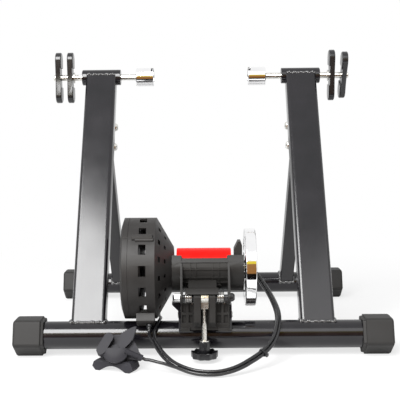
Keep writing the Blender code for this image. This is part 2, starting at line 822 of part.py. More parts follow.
def build_support(root, mats):
    """The folding hinge behind each main leg and the support legs with their cross tube."""
    inside = SUPPORT_LEG_SIZE / 2 + GAP
    outside = inside + BRACKET_PLATE
    pivot_along = HINGE_Y * math.sin(LEG_LEAN) + HINGE_RISE * math.cos(LEG_LEAN)
    web_start = LEG_DEPTH / 2 + GAP
    for side in (-1, 1):
        leg_end = (side * SUPPORT_LEG_X, 0, BASE_Z)
        frame = empty(side_name("hinge_frame", side), leg_end, root, (-LEG_LEAN, 0, 0))
        low = pivot_along - BRACKET_REACH
        high = pivot_along + BRACKET_BOLT_PITCH + BRACKET_REACH
        corners = rectangle((web_start, low), (HINGE_OFFSET + BRACKET_REACH, high))
        plate = prism(rounded(corners, BRACKET_REACH * 0.45), (-outside, outside))
        bracket = place(side_name("hinge_bracket", side), plate, mats["satin"], frame)
        channel = box(
            (-inside, web_start + BRACKET_PLATE, low - BRACKET_REACH),
            (inside, HINGE_OFFSET + 2 * BRACKET_REACH, high + BRACKET_REACH),
        )
        holes = bmesh.new()
        for along in (pivot_along, pivot_along + BRACKET_BOLT_PITCH):
            hole = cylinder(HINGE_BOLT_R + GAP, (-2 * outside, 2 * outside), SMALL)
            moved(hole, Matrix.Translation((0, HINGE_OFFSET, along)))
            hole_mesh = bpy.data.meshes.new("hole")
            hole.to_mesh(hole_mesh)
            hole.free()
            holes.from_mesh(hole_mesh)
        cut(
            bracket,
            place(side_name("bracket_channel", side), channel, None, frame),
            place(side_name("bracket_holes", side), holes, None, frame),
        )
        head_start = outside + GAP
        pin_span = (-head_start, head_start)
        stop_pin = round_bolt(HINGE_HEAD_R, HINGE_HEAD, HINGE_BOLT_R, pin_span, HINGE_HEAD * 0.7)
        upper = (0, HINGE_OFFSET, pivot_along + BRACKET_BOLT_PITCH)
        place(side_name("stop_pin", side), mirrored(stop_pin, side), mats["zinc"], frame, upper)
        nut_start = outside + GAP
        bolt_end = nut_start + HINGE_NUT + BOLT_PROUD
        bolt = round_bolt(HINGE_HEAD_R, HINGE_HEAD, HINGE_BOLT_R, (-head_start, bolt_end))
        pivot = (0, HINGE_OFFSET, pivot_along)
        place(side_name("hinge_bolt", side), mirrored(bolt, side), mats["zinc"], frame, pivot)
        span = (side * nut_start, side * (nut_start + HINGE_NUT))
        hex_nut(
            side_name("hinge_nut", side),
            mats["zinc"],
            frame,
            HINGE_NUT_FLATS,
            (min(span), max(span)),
            HINGE_BOLT_R + GAP,
            pivot,
        )
    fold = empty("fold_axis", (0, HINGE_Y, HINGE_Z), root)
    tube_place = (0, SUPPORT_Y - HINGE_Y, FOOT_REACH - HINGE_Z)
    support_half = SUPPORT_HALF_SPAN - FOOT_END_WALL - GAP
    tube("support_base_tube", mats["satin"], fold, SUPPORT_TUBE_R, support_half, tube_place)
    for side in (-1, 1):
        foot(
            side_name("support_end_cap", side),
            mats["foot"],
            fold,
            side,
            SUPPORT_HALF_SPAN,
            SUPPORT_TUBE_R + GAP,
            tube_place,
        )
        where = (side * SUPPORT_LEG_X, 0, 0)
        turn = (SUPPORT_LEAN - math.pi, 0, 0)
        size = SUPPORT_LEG_SIZE
        leg = place(
            side_name("support_leg", side),
            square_tube(size, size, SUPPORT_LEG_CORNER_R, (-SUPPORT_LEG_STUB, SUPPORT_LEG_LENGTH)),
            mats["satin"],
            fold,
            where,
            turn,
        )
        hole = cylinder(HINGE_BOLT_R + GAP, (-size, size), SMALL)
        saddle = cylinder(SUPPORT_TUBE_R + GAP, (-size, size), MEDIUM)
        cut(
            leg,
            place(side_name("support_hole", side), hole, None, fold, where, turn),
            place(
                side_name("support_saddle", side),
                saddle,
                None,
                fold,
                (side * SUPPORT_LEG_X, SUPPORT_Y - HINGE_Y, FOOT_REACH - HINGE_Z),
            ),
        )


def trough_section(inner, outer, start, end, steps):
    """A curved band about the roller or pivot axis between two angles from the front, -Y, up."""
    first = math.pi - math.radians(start)
    last = math.pi - math.radians(end)
    return arc((0, 0), outer, first, last, steps) + arc((0, 0), inner, last, first, steps)


def half_turned(profile, start, steps):
    """Spin a closed (along, radius) outline half a turn from an angle counted up from the front, -Y."""
    bm = bmesh.new()
    points = [bm.verts.new((along, -radius, 0)) for along, radius in profile]
    cap = bm.faces.new(points)
    spun = bmesh.ops.spin(
        bm, geom=points + list(cap.edges), cent=(0, 0, 0), axis=(1, 0, 0), angle=math.pi, steps=steps
    )
    last = [piece for piece in spun["geom_last"] if isinstance(piece, bmesh.types.BMEdge)]
    bmesh.ops.edgeloop_fill(bm, edges=last)
    return turned_about_x(bm, math.radians(start))


def leg_outline(eye, eye_r, seat_r, steps=8):
    """A plate from an arc about the roller axis out to a round eye, with straight sides between them."""
    heading = math.atan2(eye[1], eye[0])
    swing = math.acos((seat_r - eye_r) / math.hypot(*eye))
    seat = arc((0, 0), seat_r, heading + CRADLE_LEG_WRAP, heading - CRADLE_LEG_WRAP, steps)
    return arc(eye, eye_r, heading - swing, heading + swing, steps) + seat


def build_cradle(unit, mats):
    """The trough under the roller with its collars, hubs, ribs, ear and the arms down to the pivot."""
    roller = (0, ROLLER_Y - PIVOT_Y, ROLLER_Z - PIVOT_Z)
    tyre = math.degrees(TYRE_ANGLE)
    # The band stays on the side away from the tyre, counted from the front round underneath
    start = 180 - tyre - 90

    def helper(name, bm):
        return place("cradle_" + name, bm, None, unit, roller)

    overlap = WEB * 0.2
    left_web = LEFT_COLLAR[0] + overlap
    right_web = BEARING_RIGHT_X + overlap
    web_r = (HUB_R + BEARING_R) / 2
    shell = [
        (LEFT_COLLAR[0], COLLAR_R),
        (LEFT_COLLAR[1], COLLAR_R),
        (LEFT_COLLAR[1], TROUGH_R),
        (RIGHT_COLLAR[0], TROUGH_R),
        (RIGHT_COLLAR[0], COLLAR_R),
        (RIGHT_COLLAR[1], COLLAR_R),
        (RIGHT_COLLAR[1], TROUGH_BORE_R),
        (right_web + WEB, TROUGH_BORE_R),
        (right_web + WEB, web_r),
        (right_web, web_r),
        (right_web, TROUGH_BORE_R),
        (left_web + WEB, TROUGH_BORE_R),
        (left_web + WEB, web_r),
        (left_web, web_r),
        (left_web, TROUGH_BORE_R),
        (LEFT_COLLAR[0], TROUGH_BORE_R),
    ]
    cradle = place("cradle", half_turned(shell, start, HALF_TURN_STEPS), mats["unit"], unit, roller)
    parts = []
    bearing_r = BEARING_R + GAP
    left_seat = BEARING_LEFT_X - GAP
    hub_end = BEARING_LEFT_X + BEARING + GAP
    shoulder = MOVING_RING_X + GAP
    left_hub = turned(
        [
            (HUB_LEFT_X, HUB_BORE_R),
            (HUB_LEFT_X, HUB_R),
            (shoulder, HUB_R),
            (shoulder, HUB_SHOULDER_R),
            (shoulder + BRACKET_PLATE, HUB_SHOULDER_R),
            (shoulder + BRACKET_PLATE, HUB_R),
            (hub_end, HUB_R),
            (hub_end, bearing_r),
            (left_seat, bearing_r),
            (left_seat, HUB_BORE_R),
        ],
        COARSE,
    )
    right_seat = BEARING_RIGHT_X - GAP
    right_end = RIGHT_COLLAR[1]
    right_stop = BEARING_RIGHT_X + BEARING + GAP
    right_hub = turned(
        [
            (right_seat, bearing_r),
            (right_seat, HUB_R),
            (right_end - overlap, HUB_R),
            (right_end - overlap, HUB_BORE_R),
            (right_stop, HUB_BORE_R),
            (right_stop, bearing_r),
        ],
        COARSE,
    )
    parts += [helper("left_hub", left_hub), helper("right_hub", right_hub)]
    for x in RIB_RING_XS:
        rib_band = trough_section(TROUGH_R - RIB / 2, COLLAR_R, *RIB_RING_ANGLES, 4)
        parts.append(helper("rib_ring", prism(rib_band, (x - RIB / 2, x + RIB / 2))))
    for angle in RIB_ANGLES:
        rib = box(
            (LEFT_COLLAR[1] - overlap, -COLLAR_R, -RIB / 2),
            (RIGHT_COLLAR[0] + overlap, -TROUGH_R + RIB / 2, RIB / 2),
        )
        turned_about_x(rib, math.radians(angle))
        parts.append(helper("rib", rib))
    for x in CRADLE_BOSS_XS:
        boss = moved(
            cylinder(BOSS_R, (TROUGH_R - RIB / 2, COLLAR_R + RIB), SMALL),
            Matrix.Rotation(math.pi / 2, 4, "Z"),
        )
        moved(boss, Matrix.Scale(-1, 4, (0, 1, 0)))
        turned_about_x(boss, math.radians(CRADLE_BOSS_ANGLE))
        moved(boss, Matrix.Translation((x, 0, 0)))
        parts.append(helper("boss", boss))
    ear_mid = (EAR_LEFT_X + EAR_RIGHT_X) / 2
    ear = prism(
        [
            (EAR_LEFT_X, 0),
            (EAR_RIGHT_X, 0),
            (EAR_RIGHT_X, EAR_RISE * 0.85),
            (EAR_RIGHT_X - RIB, EAR_RISE),
            (ear_mid, EAR_RISE),
            (EAR_LEFT_X, EAR_RISE * 0.7),
        ],
        (-EAR_DEPTH * 0.6, EAR_DEPTH * 0.4),
        "Y",
    )
    ear_room = cylinder(HUB_R - BRACKET_PLATE * 0.8, (EAR_LEFT_X - WEB, EAR_RIGHT_X + WEB), COARSE)
    ear_obj = cut(helper("ear", ear), helper("ear_room", ear_room))
    parts.append(ear_obj)
    offset = (PIVOT_Y - ROLLER_Y, PIVOT_Z - ROLLER_Z)
    in_wall = (TROUGH_R + TROUGH_BORE_R) / 2
    leg = leg_outline(offset, PIVOT_EYE_R, in_wall)
    for low in (CRADLE_LEG_LEFT_X, CRADLE_LEG_RIGHT_X - CRADLE_LEG):
        parts.append(helper("leg", prism(leg, (low, low + CRADLE_LEG))))
    cover = trough_section(COVER_BORE_R, COVER_R, *COVER_ANGLES, 8)
    parts.append(helper("cover", moved(prism(cover, COVER_XS), Matrix.Translation((0, *offset)))))
    heading = math.atan2(-offset[1], -offset[0])
    length = math.hypot(*offset)
    half = ARM_THICKNESS / 2
    slab = box((ARM_XS[0], COVER_R - BRACKET_PLATE / 2, -half), (ARM_XS[1], length - in_wall, half))
    moved(slab, Matrix.Rotation(heading, 4, "X"))
    parts.append(helper("arm", moved(slab, Matrix.Translation((0, *offset)))))
    join(cradle, *parts)
    bolt_room = cylinder(PIVOT_BOLT_R + GAP, (2 * CRADLE_LEG_LEFT_X, 2 * CRADLE_LEG_RIGHT_X), SMALL)
    moved(bolt_room, Matrix.Translation((0, *offset)))
    front_edge = box(
        (LEFT_COLLAR[1] + RIB / 2, -2 * COLLAR_R, TROUGH_FRONT_RISE),
        (RIGHT_COLLAR[0] - RIB / 2, 0, 2 * COLLAR_R),
    )
    cut(cradle, helper("bolt_room", bolt_room), helper("front_edge", front_edge))


def drum_cone_radius(x):
    """The outer radius of the drum's cone at a place along the axis."""
    share = (x - DRUM_CONE_X) / (DRUM_NECK_X - DRUM_CONE_X)
    return DRUM_R + (DRUM_NECK_R - DRUM_R) * share


def build_drum(unit, mats):
    """The two-part housing round the magnets: a rim with vents, a cone, and the flat cover on its left."""
    roller = (0, ROLLER_Y - PIVOT_Y, ROLLER_Z - PIVOT_Z)
    bore_r = DRUM_R - DRUM_WALL
    fall = (DRUM_R - DRUM_NECK_R) / (DRUM_NECK_X - DRUM_CONE_X)
    wall = DRUM_WALL * math.hypot(1, fall)
    cone_inner_x = DRUM_CONE_X - (wall - DRUM_WALL) / fall
    neck_inner_x = DRUM_NECK_X - DRUM_WALL
    neck_bore_r = HUB_R + GAP * 3
    shell = turned(
        [
            (DRUM_SPLIT_X, bore_r),
            (DRUM_SPLIT_X, DRUM_R),
            (DRUM_CONE_X, DRUM_R),
            (DRUM_NECK_X, DRUM_NECK_R),
            (DRUM_NECK_X, neck_bore_r),
            (neck_inner_x, neck_bore_r),
            (neck_inner_x, drum_cone_radius(neck_inner_x) - wall),
            (cone_inner_x, bore_r),
        ],
        FINE,
    )
    housing = place("drum_housing", shell, mats["drum"], unit, roller)

    def helper(name, bm):
        return place("drum_" + name, bm, None, unit, roller)

    cutters = []
    for k in range(VENTS):
        if k == VENT_UNDER_OUTLET:
            continue
        half = VENT_LENGTH / 2
        vent = box((VENT_XS[0], -DRUM_R - DRUM_WALL, -half), (VENT_XS[1], -DRUM_R + 2 * DRUM_WALL, half))
        cutters.append(helper("vent", turned_about_x(vent, VENT_START + 2 * math.pi * k / VENTS)))
    cut(housing, *cutters)
    bosses = []
    for angle in SCREW_BOSS_ANGLES:
        boss = moved(cylinder(SCREW_BOSS_R, SCREW_BOSS_XS, SMALL), Matrix.Translation((0, -DRUM_R, 0)))
        bosses.append(helper("boss", turned_about_x(boss, math.radians(angle))))
    outlet = box(
        (OUTLET_XS[0], -OUTLET_REACH, -OUTLET_SIDES[1]), (OUTLET_XS[1], -OUTLET_ROOT, -OUTLET_SIDES[0])
    )
    low_edges = [e for e in outlet.edges if all(abs(v.co.y + OUTLET_REACH) < GAP for v in e.verts)]
    bmesh.ops.bevel(outlet, geom=low_edges, offset=OUTLET_EDGE, segments=1, affect="EDGES")
    bosses.append(helper("outlet", turned_about_x(outlet, OUTLET_ANGLE)))
    join(housing, *bosses)
    cut(housing, helper("cradle_room", cradle_room()))
    face_inner_x = COVER_FACE_X + DRUM_WALL
    lid = turned(
        [
            (COVER_FACE_X, 0),
            (COVER_FACE_X, COVER_FACE_R),
            (COVER_SHOULDER_X, DRUM_R),
            (DRUM_SPLIT_X - GAP, DRUM_R),
            (DRUM_SPLIT_X - GAP, bore_r),
            (COVER_SHOULDER_X + DRUM_WALL * 0.6, bore_r),
            (face_inner_x, COVER_FACE_R),
            (face_inner_x, 0),
        ],
        FINE,
    )
    cover = place("drum_cover", lid, mats["drum"], unit, roller)
    slots = []
    low, high, width = COVER_SLOT
    for k in range(COVER_SLOTS):
        inner_x = face_inner_x + DRUM_WALL / 4
        slot = box((COVER_FACE_X - DRUM_WALL, low, -width / 2), (inner_x, high, width / 2))
        slots.append(helper("slot", turned_about_x(slot, 2 * math.pi * (k + 0.5) / COVER_SLOTS)))
    for angle in SCREW_BOSS_ANGLES:
        groove = cylinder(SCREW_GROOVE_R, (COVER_FACE_X - DRUM_WALL, DRUM_SPLIT_X + DRUM_WALL), SMALL)
        moved(groove, Matrix.Translation((0, -DRUM_R - SCREW_GROOVE_R * 0.5, 0)))
        slots.append(helper("groove", turned_about_x(groove, math.radians(angle))))
    cut(cover, *slots)


def cradle_room():
    """The half cylinder that the cradle's left collar and web take out of the drum's cone."""
    tyre = math.degrees(TYRE_ANGLE)
    start = 180 - tyre - 90
    reach = COLLAR_R + GAP
    spare = math.degrees(2 * GAP / COLLAR_R)
    half = trough_section(GAP, reach, start + spare, start - 180 - spare, HALF_TURN_STEPS)
    return prism(half, (LEFT_COLLAR[0] - GAP, DRUM_NECK_X + DRUM_WALL))


def magnet_ring(name, mat, unit, roller, plate_x, bore_r, facing):
    """A ring plate with a circle of round magnets on the side that faces the rotor disc."""
    far = plate_x + facing * RING_PLATE
    thickness = (min(plate_x, far), max(plate_x, far))
    plate = place(name, ring(bore_r, RING_R, thickness, MEDIUM), mat, unit, roller)
    tip = far + facing * MAGNET_HEIGHT
    sunk = far - facing * RING_PLATE / 2
    magnets = []
    for k in range(MAGNETS):
        magnet = cylinder(MAGNET_R, (min(sunk, tip), max(sunk, tip)), SMALL)
        moved(magnet, Matrix.Translation((0, -MAGNET_CIRCLE_R, 0)))
        turned_about_x(magnet, 2 * math.pi * k / MAGNETS)
        magnets.append(place(name + "_magnet", magnet, None, unit, roller))
    return join(plate, *magnets)


def build_rotor(unit, mats):
    """Everything that spins on the roller's shaft, with the bearings and magnet rings round it."""
    roller = (0, ROLLER_Y - PIVOT_Y, ROLLER_Z - PIVOT_Z)
    bore_r = SHAFT_R + GAP
    for name, start in (("bearing_left", BEARING_LEFT_X), ("bearing_right", BEARING_RIGHT_X)):
        place(name, ring(bore_r, BEARING_R, (start, start + BEARING), COARSE), mats["zinc"], unit, roller)
    magnet_ring("fixed_magnet_ring", mats["zinc"], unit, roller, FIXED_RING_X, FIXED_RING_BORE_R, 1)
    magnet_ring("moving_magnet_ring", mats["zinc"], unit, roller, MOVING_RING_X, HUB_R + GAP, -1)
    spin = empty("rotor_axis", roller, unit)
    edge = SHAFT_R * 0.15
    shaft = turned(
        [
            (SHAFT_LEFT_X, 0),
            (SHAFT_LEFT_X, SHAFT_R - edge),
            (SHAFT_LEFT_X + edge, SHAFT_R),
            (SHAFT_RIGHT_X - edge, SHAFT_R),
            (SHAFT_RIGHT_X, SHAFT_R - edge),
            (SHAFT_RIGHT_X, 0),
        ],
        COARSE,
    )
    place("shaft", shaft, mats["zinc"], spin)
    drum = turned(
        [
            (ROLLER_LEFT_X, bore_r),
            (ROLLER_LEFT_X, ROLLER_R - ROLLER_EDGE),
            (ROLLER_LEFT_X + ROLLER_EDGE, ROLLER_R),
            (ROLLER_RIGHT_X - ROLLER_EDGE, ROLLER_R),
            (ROLLER_RIGHT_X, ROLLER_R - ROLLER_EDGE),
            (ROLLER_RIGHT_X, bore_r),
        ],
        FINE,
    )
    place("roller", drum, mats["roller"], spin)
    left, right = FLYWHEEL_LEFT_X, FLYWHEEL_RIGHT_X
    rim_r = FLYWHEEL_R - FLYWHEEL_RIM
    wheel = turned(
        [
            (left, bore_r),
            (left, FLYWHEEL_HUB_R),
            (left + FLYWHEEL_WEB_INSET, FLYWHEEL_HUB_R),
            (left + FLYWHEEL_WEB_INSET, rim_r),
            (left, rim_r),
            (left, FLYWHEEL_R - FLYWHEEL_EDGE),
            (left + FLYWHEEL_EDGE, FLYWHEEL_R),
            (right - FLYWHEEL_EDGE, FLYWHEEL_R),
            (right, FLYWHEEL_R - FLYWHEEL_EDGE),
            (right, rim_r),
            (right - FLYWHEEL_WEB_INSET, rim_r),
            (right - FLYWHEEL_WEB_INSET, bore_r),
        ],
        FINE,
    )
    place("flywheel", wheel, mats["chrome"], spin)
    nut_x = FLYWHEEL_RIGHT_X - FLYWHEEL_WEB_INSET + GAP
    nut_span = (nut_x, nut_x + FLYWHEEL_NUT)
    hex_nut("flywheel_nut", mats["zinc"], spin, FLYWHEEL_NUT_FLATS, nut_span, bore_r, (0, 0, 0))
    disc_right = ROTOR_LEFT_X + ROTOR_THICKNESS
    hub_right = ROTOR_LEFT_X + ROTOR_HUB
    disc = turned(
        [
            (ROTOR_LEFT_X, bore_r),
            (ROTOR_LEFT_X, ROTOR_R),
            (disc_right, ROTOR_R),
            (disc_right, ROTOR_HUB_R),
            (hub_right, ROTOR_HUB_R),
            (hub_right, bore_r),
        ],
        MEDIUM,
    )
    place("rotor_disc", disc, mats["aluminium"], spin)


def build_pivot(root, mats):
    """The steel bracket on the base tube, its ribbed block, and the pivot bolt through the block."""
    base = (0, 0, BASE_Z)

    def helper(name, bm):
        return place("pivot_" + name, bm, None, root, base)

    inner = BASE_TUBE_R + GAP
    outer = inner + BRACKET_SHEET
    left = BLOCK_LEFT_X - GAP - BRACKET_SHEET
    right = BLOCK_RIGHT_X + GAP + BRACKET_SHEET
    web = box((left, -BRACKET_BACK, inner), (right, BRACKET_FRONT, outer))
    moved(web, Matrix.Scale(-1, 4, (0, 1, 0)))
    moved(web, Matrix.Rotation(math.pi / 2 - BRACKET_LEAN, 4, "X"))
    bracket = place("mount_bracket", web, mats["satin"], root, base)
    front_low = (-outer * math.cos(BRACKET_LEAN) - BRACKET_FRONT * math.sin(BRACKET_LEAN), CHEEK_BOTTOM)
    cheek = rounded(
        [
            front_low,
            (BRACKET_BACK * 0.7, CHEEK_BOTTOM),
            (BRACKET_BACK * 0.7, CHEEK_TOP * 0.6),
            (CHEEK_BACK_Y, CHEEK_TOP),
            (CHEEK_FRONT_Y, CHEEK_TOP),
            (CHEEK_FRONT_Y, CHEEK_TOP * 0.6),
        ],
        0.002,
        1,
    )
    tube_room = helper("tube_room", cylinder(inner, (2 * left, 2 * right), MEDIUM))
    cheeks = []
    for low in (left, right - BRACKET_SHEET):
        cheeks.append(helper("cheek", prism(cheek, (low, low + BRACKET_SHEET))))
    tab = prism(
        [
            (left, TAB_BOTTOM),
            (left + BRACKET_SHEET, TAB_BOTTOM),
            (left + BRACKET_SHEET, CHEEK_TOP + BRACKET_SHEET),
            (left - TAB_REACH, CHEEK_TOP + BRACKET_SHEET),
            (left - TAB_REACH, CHEEK_TOP),
        ],
        TAB_YS,
        "Y",
    )
    join(bracket, *cheeks, helper("tab", tab))
    bolt_hole = cylinder(PIVOT_BOLT_R + GAP, (2 * left, 2 * right), SMALL)
    moved(bolt_hole, Matrix.Translation((0, LOWER_BOLT_Y, LOWER_BOLT_RISE)))
    lower_hole = helper("lower_hole", bolt_hole)
    cut(bracket, tube_room, lower_hole)

    normal = (-math.cos(BRACKET_LEAN), math.sin(BRACKET_LEAN))
    clear = outer + GAP

    def on_web(y):
        """The height at which the block rests on the bracket's web."""
        return (clear - y * normal[0]) / normal[1]

    body = [
        (BLOCK_FRONT_Y, max(on_web(BLOCK_FRONT_Y), 0.014)),
        (BLOCK_BACK_Y, on_web(BLOCK_BACK_Y)),
        (BLOCK_BACK_Y, BLOCK_TOP),
        (BLOCK_FRONT_Y, BLOCK_TOP),
    ]
    block = place("pivot_block", prism(body, (BLOCK_LEFT_X, BLOCK_RIGHT_X)), mats["unit"], root, base)
    pivot = (PIVOT_Y, PIVOT_RISE)
    lug_r = PIVOT_Y - LUG_FRONT_Y
    lug = [(LUG_FRONT_Y, LUG_BOTTOM + lug_r), (LUG_FRONT_Y + lug_r, LUG_BOTTOM), (LUG_BACK_Y, LUG_BOTTOM)]
    lug += [(LUG_BACK_Y, BLOCK_TOP - BRACKET_PLATE)] + arc(pivot, lug_r, math.radians(20), math.pi, 7)
    pockets = []
    column_edges = (BLOCK_LEFT_X, LUG_XS[0][0], LUG_XS[1][1], BLOCK_RIGHT_X)
    row_edges = (*BLOCK_ROWS, BLOCK_TOP)
    for low_x, high_x in ((column_edges[0], column_edges[1]), (column_edges[2], column_edges[3])):
        half = (low_x + high_x) / 2
        for start, end in ((low_x, half), (half, high_x)):
            for low_z, high_z in zip(row_edges, row_edges[1:]):
                pockets.append(
                    helper(
                        "pocket",
                        box(
                            (start + RIB, BLOCK_FRONT_Y - POCKET_DEPTH, low_z + RIB),
                            (end - RIB, BLOCK_FRONT_Y + POCKET_DEPTH, high_z - RIB),
                        ),
                    )
                )
    cut(block, *pockets)
    lugs = [helper("lug", prism(lug, span)) for span in LUG_XS]
    tab_top = body[0][1] + BLOCK_TAB
    tabs = [
        helper(
            "foot_tab",
            box(
                (span[0], BLOCK_FRONT_Y - BLOCK_TAB_REACH, body[0][1]),
                (span[1], BLOCK_FRONT_Y + RIB, tab_top),
            ),
        )
        for span in BLOCK_TABS
    ]
    join(block, *lugs, *tabs)
    pivot_hole = cylinder(PIVOT_BOLT_R + GAP, (2 * left, 2 * right), SMALL)
    cut(block, helper("bolt_hole", moved(pivot_hole, Matrix.Translation((0, *pivot)))), lower_hole)

    place_pivot = (0, PIVOT_Y, PIVOT_Z)
    cap_x = CRADLE_LEG_RIGHT_X + GAP
    nut_x = CRADLE_LEG_LEFT_X - GAP
    bolt = round_bolt(PIVOT_CAP_R, PIVOT_CAP, PIVOT_BOLT_R, (-cap_x, -nut_x + PIVOT_NUT + BOLT_PROUD))
    place("pivot_bolt", mirrored(bolt, -1), mats["bolt"], root, place_pivot)
    hex_nut(
        "pivot_nut",
        mats["chrome"],
        root,
        PIVOT_NUT_FLATS,
        (nut_x - PIVOT_NUT, nut_x),
        PIVOT_BOLT_R + GAP,
        place_pivot,
    )
    place_lower = (0, LOWER_BOLT_Y, BASE_Z + LOWER_BOLT_RISE)
    head_x = right + GAP
    far_x = left - GAP
    lower = round_bolt(LOWER_HEAD_R, LOWER_HEAD, PIVOT_BOLT_R, (far_x, head_x), LOWER_HEAD)
    place("lower_bolt", lower, mats["zinc"], root, place_lower)


def build_springs(root, mats):
    """The two torsion springs round the pivot bolt, each one tube of wire from leg to leg."""
    for name, (low, high) in zip(("torsion_spring_left", "torsion_spring_right"), SPRING_XS):
        count = SPRING_TURNS * SPRING_POINTS
        points = []
        for i in range(count + 1):
            angle = -math.pi / 2 - 2 * math.pi * i / SPRING_POINTS
            x = low + SPRING_WIRE_R + (high - low - 2 * SPRING_WIRE_R) * i / count
            points.append((x, SPRING_R * math.cos(angle), SPRING_R * math.sin(angle)))
        first = Vector(points[0])
        last = Vector(points[-1])
        leg = Vector((0, SPRING_LEG, 0))
        route = [first + leg] + [Vector(p) for p in points] + [last - leg]
        cord(name, route, SPRING_WIRE_R, mats["wire"], root, (0, PIVOT_Y, PIVOT_Z), resolution=1)
        report_gap(name, route, SPRING_WIRE_R)


def build_tension_rod(root, mats):
    """The rod that hangs from the pivot bolt by its yoke, with the washer and star knob low on it."""
    swing = empty("tension_axis", (0, PIVOT_Y, PIVOT_Z), root)
    half = YOKE_WIDTH / 2
    eye = cylinder(YOKE_R, (YOKE_X - half, YOKE_X + half), COARSE)
    rod = place("tension_rod", eye, mats["zinc"], swing)
    depth = YOKE_DEPTH / 2
    tail = box((YOKE_X - half, -depth, -YOKE_TAIL), (YOKE_X + half, depth, 0))
    bar = upright(cylinder(ROD_R, (ROD_BOTTOM + BASE_Z - PIVOT_Z, -YOKE_TAIL / 2), SMALL), ROD_X)
    hole = cylinder(PIVOT_BOLT_R + GAP, (-YOKE_WIDTH, 2 * YOKE_WIDTH), SMALL)
    join(rod, place("yoke_tail", tail, None, swing), place("rod_bar", bar, None, swing))
    cut(rod, place("yoke_hole", hole, None, swing))
    base = BASE_Z - PIVOT_Z + STAR_BOTTOM
    hub_top = base + STAR_HUB_TOP
    washer_span = (hub_top + GAP, hub_top + GAP + STAR_WASHER)
    washer = upright(ring(ROD_R + GAP, STAR_WASHER_R, washer_span, SMALL), ROD_X)
    place("star_washer", washer, mats["zinc"], swing)
    steps = STAR_LOBES * 4

    def crease(angle):
        """How far the rim is drawn in, from 0 on a lobe to 1 between two, counted from the front."""
        return (1 + math.cos(STAR_LOBES * angle)) / 2

    def star(inset):
        points = []
        for i in range(steps):
            angle = 2 * math.pi * i / steps
            radius = STAR_R - inset - STAR_DEPTH * crease(angle)
            points.append((radius * math.sin(angle), -radius * math.cos(angle)))
        return points

    rim = base + STAR_HEIGHT
    skirt = loft(
        bmesh.new(),
        [star(STAR_EDGE), star(0), star(0), star(STAR_WALL), star(STAR_WALL)],
        (base, base + STAR_EDGE, rim, rim, base + STAR_FLOOR),
        "Z",
    )
    for vert in skirt.verts:
        if vert.co.z > rim - STAR_EDGE:
            vert.co.z -= STAR_WAVE * crease(math.atan2(vert.co.x, -vert.co.y))
    knob_frame = empty("knob_axis", (ROD_X, 0, 0), swing)
    knob = place("star_knob", skirt, mats["knob"], knob_frame)
    hub = upright(cylinder(STAR_HUB_R, (base + STAR_FLOOR / 2, hub_top), COARSE), 0)
    bore = upright(cylinder(ROD_R + GAP, (base - STAR_FLOOR, hub_top + STAR_FLOOR), SMALL), 0)
    join(knob, place("star_hub", hub, None, knob_frame))
    cut(knob, place("star_bore", bore, None, knob_frame))


def upright(bm, x):
    """Stand a shape made along X upright, with its own X as the height, and move it to x."""
    moved(bm, Matrix.Rotation(-math.pi / 2, 4, "Y"))
    return moved(bm, Matrix.Translation((x, 0, 0)))


def capsule(first, second, radius, steps=5):
    """The outline round a straight line at a distance."""
    heading = math.atan2(second[1] - first[1], second[0] - first[0])
    far = arc(second, radius, heading - math.pi / 2, heading + math.pi / 2, steps)
    return far + arc(first, radius, heading + math.pi / 2, heading + math.pi * 1.5, steps)


def lever_outline():
    """The lever on the dial's face, with the teeth along its upper edge."""
    start, tip = Vector(LEVER_TOOTH_START), Vector(LEVER_OUTER[0])
    run = (tip - start) / LEVER_TEETH
    across = Vector((-run.y, run.x)).normalized()
    teeth = []
    for k in range(LEVER_TEETH):
        teeth.append(tuple(start + run * k))
        teeth.append(tuple(start + run * (k + 0.5) + across * LEVER_TOOTH))
    return teeth + list(LEVER_OUTER) + list(LEVER_INNER)


def cable_pipe():
    """The pipe out of the dial that takes the cable, with a wider collar at its end."""
    start, end = Vector(CABLE_BOSS_START), Vector(CABLE_BOSS_END)
    length = (end - start).length
    pipe = turned(
        [
            (0, 0),
            (0, CABLE_BOSS_R),
            (length - CABLE_COLLAR, CABLE_BOSS_R),
            (length - CABLE_COLLAR, CABLE_COLLAR_R),
            (length, CABLE_COLLAR_R),
            (length, 0),
        ],
        SMALL,
    )
    aim = Vector((1, 0, 0)).rotation_difference(end - start).to_matrix().to_4x4()
    return moved(pipe, Matrix.Translation(start) @ aim)


